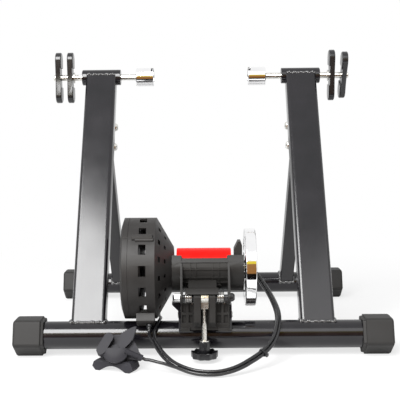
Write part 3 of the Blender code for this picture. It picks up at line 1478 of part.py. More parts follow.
def build_shifter(root, mats):
    """The shifter on the floor: a dial body, its thumb lever and the saddle for a handlebar."""
    frame = empty("shifter_frame", (SHIFTER_X, SHIFTER_Y, SHIFTER_Z), root, (SHIFTER_TILT, 0, 0))

    def disc(radius, span, segments=COARSE):
        return upright(cylinder(radius, span, segments), 0)

    crown = turned(
        [
            (-DIAL_FRONT, 0),
            (-DIAL_FRONT, DIAL_R),
            (0, DIAL_R),
            (DIAL_CROWN * 0.6, DIAL_R * 0.78),
            (DIAL_CROWN, DIAL_R * 0.4),
            (DIAL_CROWN, 0),
        ],
        MEDIUM,
    )
    body = place("shifter_body", upright(crown, 0), mats["shifter"], frame)
    dial_room = box((-2 * DIAL_R, DIAL_CUT, -2 * DIAL_FRONT), (2 * DIAL_R, 2 * DIAL_R, 2 * DIAL_CROWN))
    cut(body, place("shifter_dial_room", dial_room, None, frame))
    overlap = RIB / 2
    plate_left = math.radians(150)
    plate_right = math.radians(325)
    plate = arc((0, 0), DIAL_R, plate_left, plate_right, 10) + list(BACK_EDGE)
    join(
        body,
        place(
            "shifter_core",
            disc(DIAL_CORE_R, (BACK_PLATE[0] + overlap, -DIAL_FRONT + overlap)),
            None,
            frame,
        ),
        place("shifter_plate", prism(plate, BACK_PLATE, "Z"), None, frame),
        place(
            "shifter_barrel",
            prism(capsule(*BARREL_ENDS, BARREL_R), (BACK_PLATE[1] - overlap, BARREL_FRONT), "Z"),
            None,
            frame,
        ),
        place("shifter_pipe", cable_pipe(), None, root),
    )
    hub = place("shifter_lever", disc(LEVER_HUB_R, LEVER_PLATE), mats["shifter"], frame)
    arm = prism(lever_outline(), (BACK_PLATE[1] + GAP, LEVER_FRONT), "Z")
    join(hub, place("lever_arm", arm, None, frame))
    bore = disc(DIAL_CORE_R + GAP, (2 * BACK_PLATE[0], -BACK_PLATE[0]))
    cut(hub, place("lever_bore", bore, None, frame))
    saddle_frame = empty("saddle_frame", (SADDLE_X, SADDLE_Y, 0), root, (0, 0, SADDLE_TURN))
    outline = [(SADDLE_ARCH_HALF, 0), *SADDLE_SIDE]
    outline += [(-x, z) for x, z in SADDLE_SIDE[::-1]]
    outline += [(-SADDLE_ARCH_HALF, 0)]
    arch_steps = 8
    for i in range(1, arch_steps):
        share = i / arch_steps
        outline.append((-SADDLE_ARCH_HALF * (1 - 2 * share), SADDLE_ARCH_RISE * math.sin(math.pi * share)))
    bm = prism(outline, (-SADDLE_HALF_DEPTH, SADDLE_HALF_DEPTH), "Y")
    corners = [e for e in bm.edges if all(v.co.z > SADDLE_TOP - GAP for v in e.verts)]
    bmesh.ops.bevel(bm, geom=corners, offset=SADDLE_EDGE, segments=1, affect="EDGES")
    saddle = place("shifter_saddle", bm, mats["shifter"], saddle_frame)
    seat = disc(DIAL_R + GAP, (BACK_PLATE[0] - GAP, 2 * DIAL_R), MEDIUM)
    cut(saddle, place("saddle_seat", seat, None, frame))


def smooth_route(points, pitch):
    """The given points, and between those over a pitch apart more of a smooth curve through them."""
    knots = [Vector(p) for p in points]
    knots = [2 * knots[0] - knots[1]] + knots + [2 * knots[-1] - knots[-2]]
    route = []
    for a, b, c, d in zip(knots, knots[1:], knots[2:], knots[3:]):
        pieces = max(1, round((c - b).length / pitch))
        for i in range(pieces):
            t = i / pieces
            square = 2 * a - 5 * b + 4 * c - d
            cube = 3 * b - a - 3 * c + d
            route.append(0.5 * (2 * b + (c - a) * t + square * t**2 + cube * t**3))
    return route + [knots[-2]]


def spaced(points, count):
    """As many points, equally spaced along the line through the given ones."""
    path = np.array([tuple(p) for p in points])
    travelled = np.concatenate([[0], np.cumsum(np.linalg.norm(np.diff(path, axis=0), axis=1))])
    places = np.linspace(0, travelled[-1], count)
    return [Vector([float(np.interp(s, travelled, path[:, k])) for k in range(3)]) for s in places]


def cord(name, points, radius, mat, parent, location=(0, 0, 0), resolution=2):
    """A round tube along the points, closed at both ends."""
    data = bpy.data.curves.new(name, "CURVE")
    data.dimensions = "3D"
    data.bevel_depth = radius
    data.bevel_resolution = resolution
    data.use_fill_caps = True
    spline = data.splines.new("POLY")
    spline.points.add(len(points) - 1)
    for point, place_ in zip(spline.points, points):
        point.co = (*place_, 1.0)
    data.materials.append(mat)
    obj = bpy.data.objects.new(name, data)
    bpy.context.scene.collection.objects.link(obj)
    obj.parent = parent
    obj.location = location
    return obj


def report_gap(name, points, radius):
    """Print the least gap between a wound tube and itself, read on points along it."""
    path = np.array([tuple(p) for p in points])
    fine = []
    for a, b in zip(path, path[1:]):
        fine += [a + (b - a) * i / 4 for i in range(4)]
    fine = np.array(fine + [path[-1]])
    travelled = np.concatenate([[0], np.cumsum(np.linalg.norm(np.diff(fine, axis=0), axis=1))])
    apart = np.linalg.norm(fine[:, None] - fine[None], axis=2)
    apart[np.abs(travelled[:, None] - travelled[None]) < 5 * radius] = np.inf
    gap = (apart.min() - 2 * radius) * 1000
    print(f"{name}: length {travelled[-1] * 1000:.0f} mm, least gap to itself {gap:.2f} mm")


def bundle_frames():
    """At each station along the bundle its middle, its direction and the two directions across it."""
    middle = spaced(smooth_route(BUNDLE_ROUTE, CABLE_R), BUNDLE_STATIONS)
    lean = Vector((0, -LOOP_SLOPE, 1)).normalized()
    frames = []
    for i, point in enumerate(middle):
        along = (middle[min(i + 1, BUNDLE_STATIONS - 1)] - middle[max(i - 1, 0)]).normalized()
        outward = along.cross(lean).normalized()
        frames.append((point, along, outward, outward.cross(along).normalized()))
    return frames


def strand_turn(number, station):
    """The angle at which a strand lies round the bundle's middle, from outward over the top."""
    return STRAND_TURNS[number] + BUNDLE_TWIST * (1 - station / (BUNDLE_STATIONS - 1))


def strand(number, frames):
    """The places of one of the bundle's three strands, which twist slowly round each other."""
    route = []
    for i, (middle, _, outward, over) in enumerate(frames):
        turn = strand_turn(number, i)
        route.append(middle + STRAND_RING_R * (math.cos(turn) * outward + math.sin(turn) * over))
    return route


def tie_outline(distance):
    """Round the three strands at the tie, at a distance from their middles, as (over, outward) points."""
    outline = []
    third = 2 * math.pi / len(STRAND_TURNS)
    for number in sorted(STRAND_TURNS):
        turn = math.pi / 2 - strand_turn(number, TIE_STATION)
        middle = (STRAND_RING_R * math.cos(turn), STRAND_RING_R * math.sin(turn))
        outline += arc(middle, distance, turn - third / 2, turn + third / 2, 3)
    return outline


def joined_end(inner, outer):
    """The last two points of a lead that meets a coil's end squarely, from the coil's first two points."""
    along = (outer - inner).normalized()
    return [inner - along * (2 * CABLE_R + GAP), inner - along * GAP]


def build_cable(root, unit, mats):
    """The shift cable: from the drum's gland into a tied bow of three strands, and on to the shifter."""
    frames = bundle_frames()
    first, second, third = (strand(number, frames) for number in (1, 2, 3))
    route = first[SPLIT_STATION:] + list(BACK_ROUTE) + second + list(TURN_ROUTE)
    route += third[: SPLIT_STATION - 1 : -1]
    coil = smooth_route(route, CORD_PITCH)
    cord("cable_coil", coil, CABLE_R, mats["cable"], root, resolution=1)
    report_gap("cable_coil", coil, CABLE_R)

    roller = Vector((0, ROLLER_Y - PIVOT_Y, ROLLER_Z - PIVOT_Z))
    out = Vector((0, -math.cos(OUTLET_ANGLE), math.sin(OUTLET_ANGLE)))
    across = Vector((0, math.sin(OUTLET_ANGLE), math.cos(OUTLET_ANGLE)))
    side = -(OUTLET_SIDES[0] + OUTLET_SIDES[1]) / 2
    face = roller + Vector((GLAND_X, 0, 0)) + out * OUTLET_REACH + across * side
    gland = turned(
        [
            (GAP, 0),
            (GAP, GLAND_R),
            (GLAND_LENGTH * 0.5, GLAND_R),
            (GLAND_LENGTH * 0.55, GLAND_R * 0.75),
            (GLAND_LENGTH, GLAND_R * 0.7),
            (GLAND_LENGTH, 0),
        ],
        SMALL,
    )
    aim = Vector((1, 0, 0)).rotation_difference(out)
    moved(gland, Matrix.Translation(face) @ aim.to_matrix().to_4x4())
    place("cable_gland", gland, mats["knob"], unit)
    unit_place = Vector((0, PIVOT_Y, PIVOT_Z))
    exit_point = unit_place + face + out * (GLAND_LENGTH + GAP)
    lead = [exit_point, exit_point + out * 2 * CABLE_R] + list(DRUM_LEAD_ROUTE) + first[:SPLIT_STATION]
    lead = smooth_route(lead + joined_end(coil[0], coil[1]), CORD_PITCH)
    cord("cable_drum_lead", lead, CABLE_R, mats["cable"], root)
    boss_end = Vector(CABLE_BOSS_END)
    boss_out = (boss_end - Vector(CABLE_BOSS_START)).normalized()
    tail = [boss_end + boss_out * GAP, boss_end + boss_out * (2 * CABLE_R + GAP)]
    tail += list(SHIFTER_LEAD_ROUTE) + third[SHIFTER_LEAD_STATION:SPLIT_STATION]
    tail = smooth_route(tail + joined_end(coil[-1], coil[-2]), CORD_PITCH)
    cord("cable_shifter_lead", tail, CABLE_R, mats["cable"], root)

    tie_at, along, outward, over = frames[TIE_STATION]
    inner = tie_outline(CABLE_R + 2 * GAP)
    outer = tie_outline(CABLE_R + 2 * GAP + TIE_STRAP)
    half = TIE_WIDTH / 2
    head_out = max(b for _, b in outer) - TIE_STRAP / 2
    width, height = TIE_HEAD
    head = box((-width / 2, -width / 2, head_out), (width / 2, width / 2, head_out + height))
    tie_frame = empty("tie_frame", tie_at, root)
    tie_frame.rotation_euler = Matrix((along, over, outward)).transposed().to_euler()
    tie = place("cable_tie", tube_prism(outer, inner, (-half, half)), mats["knob"], tie_frame)
    join(tie, place("tie_head", head, None, tie_frame))


def settle(smooth_angle):
    """Keep each part's finished shape, shade it smooth up to an angle and drop the helpers."""
    graph = bpy.context.evaluated_depsgraph_get()
    parts = [obj for obj in bpy.data.objects if obj.type == "MESH" and not obj.hide_render]
    finished = {obj: bpy.data.meshes.new_from_object(obj.evaluated_get(graph)) for obj in parts}
    for obj, mesh in finished.items():
        obj.modifiers.clear()
        obj.data = mesh
        mesh.name = obj.name
        mesh.shade_smooth()
        mesh.set_sharp_from_angle(angle=smooth_angle)
    for obj in list(bpy.data.objects):
        if obj.hide_render:
            bpy.data.objects.remove(obj, do_unlink=True)


def main():
    clear_scene()
    mats = {
        "satin": material("satin_black_steel", (0.014, 0.014, 0.015), 0.32, 0.2),
        "foot": material("black_rubberised_plastic", (0.02, 0.02, 0.021), 0.6),
        "knob": material("black_knob_plastic", (0.018, 0.018, 0.02), 0.42),
        "unit": material("black_nylon", (0.02, 0.02, 0.022), 0.5),
        "drum": material("black_drum_plastic", (0.022, 0.022, 0.024), 0.48),
        "shifter": material("blue_grey_plastic", (0.06, 0.062, 0.078), 0.5),
        "cable": material("black_cable_jacket", (0.03, 0.03, 0.032), 0.38),
        "wire": material("black_spring_wire", (0.03, 0.03, 0.03), 0.4, 0.8),
        "bolt": material("blackened_bolt", (0.02, 0.02, 0.02), 0.45, 0.6),
        "zinc": material("zinc_plated_steel", (0.72, 0.71, 0.68), 0.3, 1.0),
        "chrome": material("bright_chrome", (0.9, 0.9, 0.9), 0.06, 1.0),
        "aluminium": material("aluminium_disc", (0.7, 0.7, 0.7), 0.35, 1.0),
        "roller": material("red_anodised_roller", (0.85, 0.02, 0.012), 0.42, 0.1),
    }
    root = empty("trainer", (0, -FOOTPRINT_MIDDLE_Y, 0))
    unit = empty("unit_pivot", (0, PIVOT_Y, PIVOT_Z), root)
    build_stand(root, mats)
    build_clamps(root, mats)
    build_support(root, mats)
    build_pivot(root, mats)
    build_springs(root, mats)
    build_tension_rod(root, mats)
    build_cradle(unit, mats)
    build_drum(unit, mats)
    build_rotor(unit, mats)
    build_shifter(root, mats)
    build_cable(root, unit, mats)
    bpy.context.view_layer.update()
    settle(SMOOTH_ANGLE)


main()
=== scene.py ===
"""A folding indoor bike trainer in a plain studio.

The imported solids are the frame. Here they get rounded edges, weld beads, a whole cable, wound springs
and finishes. Sizes are in metres: +X runs along the base tubes, +Y back towards the support tube, +Z up
from the floor.
"""

import json
import logging
import math
from dataclasses import dataclass
from enum import Enum
from typing import Iterable, Optional, Sequence

import bmesh
import bpy
import numpy as np
from mathutils import Matrix, Vector

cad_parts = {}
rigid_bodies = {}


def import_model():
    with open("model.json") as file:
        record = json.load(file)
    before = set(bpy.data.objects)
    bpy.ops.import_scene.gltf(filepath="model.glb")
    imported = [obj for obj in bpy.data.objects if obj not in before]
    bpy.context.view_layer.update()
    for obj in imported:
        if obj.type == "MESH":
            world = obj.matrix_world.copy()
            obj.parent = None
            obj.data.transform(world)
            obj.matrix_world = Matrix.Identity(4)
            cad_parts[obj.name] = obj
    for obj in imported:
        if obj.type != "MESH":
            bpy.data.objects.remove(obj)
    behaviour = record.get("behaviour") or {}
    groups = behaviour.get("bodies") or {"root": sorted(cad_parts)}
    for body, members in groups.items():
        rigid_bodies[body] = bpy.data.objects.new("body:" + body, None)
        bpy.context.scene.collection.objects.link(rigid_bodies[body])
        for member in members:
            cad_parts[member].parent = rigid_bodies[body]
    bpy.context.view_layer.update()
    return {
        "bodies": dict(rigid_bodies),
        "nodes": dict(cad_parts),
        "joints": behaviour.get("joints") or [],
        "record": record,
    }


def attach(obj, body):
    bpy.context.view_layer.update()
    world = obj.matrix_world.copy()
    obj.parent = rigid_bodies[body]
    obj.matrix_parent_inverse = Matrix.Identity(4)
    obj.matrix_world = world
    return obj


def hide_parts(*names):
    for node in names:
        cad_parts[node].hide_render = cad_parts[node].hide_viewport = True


log = logging.getLogger("trainer")

Colour = tuple[float, float, float]
Point = tuple[float, float, float]
Profile = Sequence[tuple[float, float]]

# Axes that several sub-assemblies share
BASE_Y = -0.183683
BASE_Z = 0.029974
AXLE_Y = BASE_Y + 0.232
AXLE_Z = BASE_Z + 0.3845
HINGE_Y = BASE_Y + 0.205
HINGE_Z = BASE_Z + 0.2685
SUPPORT_Y = BASE_Y + 0.440
ROLLER_Y = BASE_Y + 0.015
ROLLER_Z = BASE_Z + 0.0955
PIVOT_Y = BASE_Y - 0.042
PIVOT_Z = BASE_Z + 0.062

# Angles below which faces count as one flat face, past which an edge of a solid is rounded, and past
# which it stays sharp in the shading
FLAT_ANGLE = math.radians(0.5)
ROUNDED_ANGLE = math.radians(28)
SHARP_ANGLE = math.radians(38)

# Faces round a turned shape, and the distance below which two corners are one
FINE = 128
MERGE = 1e-6

# Bevel resolution of wires and the cable
WIRE_ROUNDNESS = 4

# How the mottle weighs its clouds against its grain, and the part of them that goes from dark to light
CLOUD_SHARE = 0.75
CLOUD_DETAIL = 5.0
GRAIN_DETAIL = 2.0
MOTTLE_RANGE = (0.3, 0.7)


class Relief(Enum):
    """What a surface's fine relief looks like."""

    GRAIN = "grain"
    THREAD = "thread"
    RINGS = "rings"


# Shader groups that the finishes share


def group_tree(
    name: str, inputs: Iterable[tuple[str, str]], outputs: Iterable[tuple[str, str]]
) -> bpy.types.NodeTree:
    """Start a shader group with named sockets.

    Args:
        name: The group's name.
        inputs: Name and socket type of each input.
        outputs: Name and socket type of each output.

    Returns:
        The new tree, with its input and output nodes.
    """
    tree = bpy.data.node_groups.new(name, "ShaderNodeTree")
    for label, kind in inputs:
        tree.interface.new_socket(name=label, in_out="INPUT", socket_type=kind)
    for label, kind in outputs:
        tree.interface.new_socket(name=label, in_out="OUTPUT", socket_type=kind)
    tree.nodes.new("NodeGroupInput").name = "in"
    tree.nodes.new("NodeGroupOutput").name = "out"
    return tree


def math_node(
    tree: bpy.types.NodeTree, operation: str, first: object, second: object = None
) -> bpy.types.NodeSocket:
    """Add a Math node whose inputs are sockets or numbers.

    Args:
        tree: Where the node goes.
        operation: Blender's name of the operation.
        first: The first operand.
        second: The second operand, where there is one.

    Returns:
        The node's result.
    """
    node = tree.nodes.new("ShaderNodeMath")
    node.operation = operation
    for socket, value in zip(node.inputs, (first, second)):
        if isinstance(value, bpy.types.NodeSocket):
            tree.links.new(value, socket)
        elif value is not None:
            socket.default_value = value
    return node.outputs[0]


def mottle_group() -> bpy.types.NodeTree:
    """Cloudy change of colour and roughness over a surface, with a fine grain on top.

    Returns:
        The group, which puts out a colour, a roughness and the grain's height.
    """
    found = bpy.data.node_groups.get("mottle")
    if found:
        return found
    tree = group_tree(
        "mottle",
        [
            ("Vector", "NodeSocketVector"),
            ("Dark", "NodeSocketColor"),
            ("Light", "NodeSocketColor"),
            ("Smooth", "NodeSocketFloat"),
            ("Rough", "NodeSocketFloat"),
            ("Clouds", "NodeSocketFloat"),
            ("Grain", "NodeSocketFloat"),
        ],
        [
            ("Colour", "NodeSocketColor"),
            ("Roughness", "NodeSocketFloat"),
            ("Height", "NodeSocketFloat"),
        ],
    )
    nodes, links = tree.nodes, tree.links
    given, result = nodes["in"], nodes["out"]
    clouds = nodes.new("ShaderNodeTexNoise")
    clouds.inputs["Detail"].default_value = CLOUD_DETAIL
    links.new(given.outputs["Vector"], clouds.inputs["Vector"])
    links.new(given.outputs["Clouds"], clouds.inputs["Scale"])
    grain = nodes.new("ShaderNodeTexNoise")
    grain.inputs["Detail"].default_value = GRAIN_DETAIL
    links.new(given.outputs["Vector"], grain.inputs["Vector"])
    links.new(given.outputs["Grain"], grain.inputs["Scale"])
    spread = nodes.new("ShaderNodeMapRange")
    spread.inputs["From Min"].default_value, spread.inputs["From Max"].default_value = MOTTLE_RANGE
    cloudy = math_node(tree, "MULTIPLY", clouds.outputs["Fac"], CLOUD_SHARE)
    grainy = math_node(tree, "MULTIPLY", grain.outputs["Fac"], 1 - CLOUD_SHARE)
    links.new(math_node(tree, "ADD", cloudy, grainy), spread.inputs["Value"])
    mix = nodes.new("ShaderNodeMix")
    mix.data_type = "RGBA"
    links.new(spread.outputs["Result"], mix.inputs["Factor"])
    links.new(given.outputs["Dark"], mix.inputs["A"])
    links.new(given.outputs["Light"], mix.inputs["B"])
    rough = nodes.new("ShaderNodeMapRange")
    links.new(spread.outputs["Result"], rough.inputs["Value"])
    links.new(given.outputs["Smooth"], rough.inputs["To Min"])
    links.new(given.outputs["Rough"], rough.inputs["To Max"])
    colour = next(s for s in mix.outputs if s.type == "RGBA")
    links.new(colour, result.inputs["Colour"])
    links.new(rough.outputs["Result"], result.inputs["Roughness"])
    links.new(grain.outputs["Fac"], result.inputs["Height"])
    return tree


def thread_group() -> bpy.types.NodeTree:
    """A screw thread round the X axis.

    Returns:
        The group, which puts out a height from 0 in the thread's root to 1 on its crest.
    """
    found = bpy.data.node_groups.get("thread")
    if found:
        return found
    tree = group_tree(
        "thread",
        [("Vector", "NodeSocketVector"), ("Pitch", "NodeSocketFloat")],
        [("Height", "NodeSocketFloat")],
    )
    given = tree.nodes["in"]
    split = tree.nodes.new("ShaderNodeSeparateXYZ")
    tree.links.new(given.outputs["Vector"], split.inputs[0])
    angle = math_node(tree, "ARCTAN2", split.outputs["Z"], split.outputs["Y"])
    turns = math_node(tree, "DIVIDE", angle, math.tau)
    along = math_node(tree, "DIVIDE", split.outputs["X"], given.outputs["Pitch"])
    wave = math_node(tree, "PINGPONG", math_node(tree, "ADD", along, turns), 0.5)
    tree.links.new(math_node(tree, "MULTIPLY", wave, 2.0), tree.nodes["out"].inputs["Height"])
    return tree


def rings_group() -> bpy.types.NodeTree:
    """The fine rings that a lathe leaves round the X axis.

    Returns:
        The group, which puts out their height.
    """
    found = bpy.data.node_groups.get("rings")
    if found:
        return found
    tree = group_tree(
        "rings",
        [("Vector", "NodeSocketVector"), ("Scale", "NodeSocketFloat")],
        [("Height", "NodeSocketFloat")],
    )
    given = tree.nodes["in"]
    split = tree.nodes.new("ShaderNodeSeparateXYZ")
    tree.links.new(given.outputs["Vector"], split.inputs[0])
    across, up = (math_node(tree, "POWER", split.outputs[axis], 2.0) for axis in "YZ")
    radius = math_node(tree, "SQRT", math_node(tree, "ADD", across, up))
    flat = tree.nodes.new("ShaderNodeCombineXYZ")
    tree.links.new(split.outputs["X"], flat.inputs["X"])
    tree.links.new(radius, flat.inputs["Y"])
    noise = tree.nodes.new("ShaderNodeTexNoise")
    noise.inputs["Detail"].default_value = 1.0
    tree.links.new(flat.outputs[0], noise.inputs["Vector"])
    tree.links.new(given.outputs["Scale"], noise.inputs["Scale"])
    tree.links.new(noise.outputs["Fac"], tree.nodes["out"].inputs["Height"])
    return tree


@dataclass(frozen=True)
class Finish:
    """A surface as its making leaves it.

    The colour and roughness wander between two ends over cloudy patches, and a fine relief catches the
    light.
    """

    name: str
    dark: Colour
    light: Colour
    smooth: float
    rough: float
    metallic: float = 0.0
    specular: float = 0.5
    coat: float = 0.0
    coat_roughness: float = 0.1
    clouds: float = 25.0
    grain: float = 900.0
    relief: Relief = Relief.GRAIN
    relief_size: float = 0.0015
    depth: float = 0.00002
    centre: Point = (0.0, 0.0, 0.0)
    turn: Point = (0.0, 0.0, 0.0)

    def build(self) -> bpy.types.Material:
        """Make the material, unless it is made already.

        Returns:
            The material.
        """
        title = f"{self.name}_finish"
        found = bpy.data.materials.get(title)
        if found:
            return found
        mat = bpy.data.materials.new(title)
        mat.use_nodes = True
        tree = mat.node_tree
        shader = tree.nodes["Principled BSDF"]
        shader.inputs["Metallic"].default_value = self.metallic
        shader.inputs["Specular IOR Level"].default_value = self.specular
        shader.inputs["Coat Weight"].default_value = self.coat
        shader.inputs["Coat Roughness"].default_value = self.coat_roughness
        place = tree.nodes.new("ShaderNodeTexCoord")
        mapping = tree.nodes.new("ShaderNodeMapping")
        mapping.vector_type = "TEXTURE"
        mapping.inputs["Location"].default_value = self.centre
        mapping.inputs["Rotation"].default_value = self.turn
        tree.links.new(place.outputs["Object"], mapping.inputs["Vector"])
        mottle = tree.nodes.new("ShaderNodeGroup")
        mottle.node_tree = mottle_group()
        mottle.inputs["Dark"].default_value = (*self.dark, 1.0)
        mottle.inputs["Light"].default_value = (*self.light, 1.0)
        mottle.inputs["Smooth"].default_value = self.smooth
        mottle.inputs["Rough"].default_value = self.rough
        mottle.inputs["Clouds"].default_value = self.clouds
        mottle.inputs["Grain"].default_value = self.grain
        tree.links.new(mapping.outputs["Vector"], mottle.inputs["Vector"])
        tree.links.new(mottle.outputs["Colour"], shader.inputs["Base Color"])
        tree.links.new(mottle.outputs["Roughness"], shader.inputs["Roughness"])
        bump = tree.nodes.new("ShaderNodeBump")
        bump.inputs["Distance"].default_value = self.depth
        tree.links.new(self.height(tree, mapping, mottle), bump.inputs["Height"])
        tree.links.new(bump.outputs["Normal"], shader.inputs["Normal"])
        return mat

    def height(
        self, tree: bpy.types.NodeTree, mapping: bpy.types.Node, mottle: bpy.types.Node
    ) -> bpy.types.NodeSocket:
        """Add the relief's own group.

        Args:
            tree: The material's tree.
            mapping: The node that puts out the places.
            mottle: The group whose grain is the plain relief.

        Returns:
            The height that the bump reads.
        """
        if self.relief is Relief.GRAIN:
            return mottle.outputs["Height"]
        node = tree.nodes.new("ShaderNodeGroup")
        if self.relief is Relief.THREAD:
            node.node_tree = thread_group()
            node.inputs["Pitch"].default_value = self.relief_size
        else:
            node.node_tree = rings_group()
            node.inputs["Scale"].default_value = 1.0 / self.relief_size
        tree.links.new(mapping.outputs["Vector"], node.inputs["Vector"])
        return node.outputs["Height"]


# Middles of the threaded and turned pieces
AXLE = (0.0, AXLE_Y, AXLE_Z)
ROLLER = (0.0, ROLLER_Y, ROLLER_Z)
ROD = (0.0022, PIVOT_Y, 0.0)

# The finishes: name, darker and lighter colour, and the roughness that goes with each
PAINT = Finish(
    "satin_black_paint", (0.003, 0.003, 0.004), (0.007, 0.006, 0.008), 0.12, 0.18,
    grain=500.0, depth=0.000004,
)
FOOT = Finish(
    "foot_plastic", (0.0135, 0.013, 0.0125), (0.0225, 0.0215, 0.021), 0.52, 0.64,
    specular=0.25, grain=1500.0,
)
KNOB = Finish(
    "knob_plastic", (0.005, 0.005, 0.006), (0.012, 0.012, 0.013), 0.16, 0.26,
    grain=1800.0, depth=0.000005,
)
UNIT = Finish(
    "unit_plastic", (0.011, 0.0103, 0.0098), (0.020, 0.0188, 0.0176), 0.38, 0.50,
    specular=0.22, grain=1600.0, depth=0.00001,
)
DRUM = Finish(
    "drum_plastic", (0.0122, 0.011, 0.0103), (0.0205, 0.019, 0.0183), 0.42, 0.54,
    specular=0.28, grain=1400.0,
)
SHIFTER = Finish(
    "shifter_plastic", (0.0165, 0.016, 0.0193), (0.0242, 0.0237, 0.028), 0.50, 0.62,
    specular=0.2, grain=1700.0, depth=0.00001,
)
JACKET = Finish(
    "cable_jacket", (0.006, 0.006, 0.007), (0.014, 0.014, 0.015), 0.18, 0.28,
    grain=2500.0,
)
WIRE = Finish(
    "spring_wire", (0.42, 0.41, 0.40), (0.62, 0.61, 0.59), 0.16, 0.28,
    metallic=1.0, grain=3000.0,
)
BLACK_BOLT = Finish(
    "black_bolt", (0.010, 0.010, 0.011), (0.024, 0.024, 0.026), 0.22, 0.34,
    grain=2000.0,
)
ZINC = Finish(
    "zinc_steel", (0.60, 0.59, 0.55), (0.84, 0.83, 0.79), 0.18, 0.32,
    metallic=1.0, clouds=60.0, grain=2200.0,
)
SCREW = Finish(
    "zinc_thread", (0.56, 0.55, 0.51), (0.82, 0.81, 0.77), 0.18, 0.30,
    metallic=1.0, clouds=60.0, grain=2200.0,
    relief=Relief.THREAD, depth=0.00005, centre=AXLE,
)
ROD_SCREW = Finish(
    "rod_thread", (0.62, 0.61, 0.57), (0.86, 0.85, 0.81), 0.20, 0.32,
    metallic=1.0, clouds=60.0, grain=2200.0,
    relief=Relief.THREAD, relief_size=0.001, centre=ROD, turn=(0.0, math.radians(90), 0.0),
)
CHROME = Finish(
    "chrome", (0.86, 0.86, 0.87), (0.94, 0.94, 0.94), 0.04, 0.09,
    metallic=1.0, clouds=50.0, grain=2500.0, depth=0.000004,
)
TURNED_CHROME = Finish(
    "turned_chrome", (0.86, 0.86, 0.87), (0.94, 0.94, 0.94), 0.05, 0.10,
    metallic=1.0, clouds=50.0,
    relief=Relief.RINGS, relief_size=0.0009, depth=0.000006, centre=ROLLER,
)
ALUMINIUM = Finish(
    "turned_aluminium", (0.30, 0.30, 0.31), (0.42, 0.42, 0.43), 0.34, 0.46,
    metallic=1.0,
    relief=Relief.RINGS, relief_size=0.0007, depth=0.00003, centre=ROLLER,
)
PLATE = Finish(
    "magnet_plate", (0.020, 0.020, 0.022), (0.045, 0.044, 0.045), 0.35, 0.50,
    metallic=0.4,
)
RED = Finish(
    "red_roller", (0.66, 0.003, 0.002), (0.80, 0.008, 0.005), 0.30, 0.40,
    specular=0.12, clouds=40.0,
    relief=Relief.RINGS, relief_size=0.0012, depth=0.00003, centre=ROLLER,
)
WELD = Finish(
    "painted_weld", (0.004, 0.004, 0.005), (0.010, 0.009, 0.010), 0.10, 0.18,
    specular=0.9, coat=1.0, coat_roughness=0.05,
)

# The finish of each of the record's slots
SLOT_FINISHES = {
    "satin_black_steel": PAINT,
    "foot_plastic": FOOT,
    "knob_plastic": KNOB,
    "unit_plastic": UNIT,
    "drum_plastic": DRUM,
    "shifter_plastic": SHIFTER,
    "cable_jacket": JACKET,
    "spring_wire": WIRE,
    "black_bolt": BLACK_BOLT,
    "zinc_steel": ZINC,
    "chrome_steel": CHROME,
    "aluminium_disc": ALUMINIUM,
    "red_roller": RED,
}


# Shapes


def turned(
    profile: Profile, centre: Point, closed: bool = False, segments: int = FINE
) -> bmesh.types.BMesh:
    """Turn a profile about the X axis through a centre.

    Args:
        profile: Points of distance along the axis and radius.
        centre: A point on the axis.
        closed: Whether the profile's last point joins its first.
        segments: Faces round the turn.

    Returns:
        The closed, outward-facing shape.
    """
    bm = bmesh.new()
    verts = [bm.verts.new((x, 0.0, r)) for x, r in profile]
    edges = [bm.edges.new(pair) for pair in zip(verts, verts[1:])]
    if closed:
        edges.append(bm.edges.new((verts[-1], verts[0])))
    bmesh.ops.spin(
        bm, geom=verts + edges, cent=(0, 0, 0), axis=(1, 0, 0), dvec=(0, 0, 0),
        angle=math.tau, steps=segments, use_merge=True, use_duplicate=False,
    )
    bmesh.ops.remove_doubles(bm, verts=bm.verts, dist=MERGE)
    bmesh.ops.recalc_face_normals(bm, faces=bm.faces)
    bmesh.ops.translate(bm, verts=bm.verts, vec=centre)
    return bm


def new_object(name: str, bm: bmesh.types.BMesh, material: bpy.types.Material) -> bpy.types.Object:
    """Put a shape in the scene.

    Args:
        name: The object's name.
        bm: Its shape, which is used up.
        material: Its surface.

    Returns:
        The object.
    """
    mesh = bpy.data.meshes.new(name)
    bm.to_mesh(mesh)
    bm.free()
    mesh.materials.append(material)
    obj = bpy.data.objects.new(name, mesh)
    bpy.context.scene.collection.objects.link(obj)
    return obj


def round_edges(bm: bmesh.types.BMesh, width: float, segments: int = 2) -> bmesh.types.BMesh:
    """Round every edge at which two faces meet at a clear angle.

    Args:
        bm: The shape, which is changed.
        width: Width of the rounding.
        segments: Faces across it.

    Returns:
        The same shape.
    """
    bmesh.ops.dissolve_limit(bm, angle_limit=FLAT_ANGLE, verts=bm.verts, edges=bm.edges)
    inner = (edge for edge in bm.edges if len(edge.link_faces) == 2)
    bmesh.ops.bevel(
        bm, geom=[edge for edge in inner if edge.calc_face_angle(0.0) > ROUNDED_ANGLE],
        offset=width, offset_type="OFFSET", segments=segments, profile=0.5,
        affect="EDGES", clamp_overlap=True, material=-1,
    )
    return bm


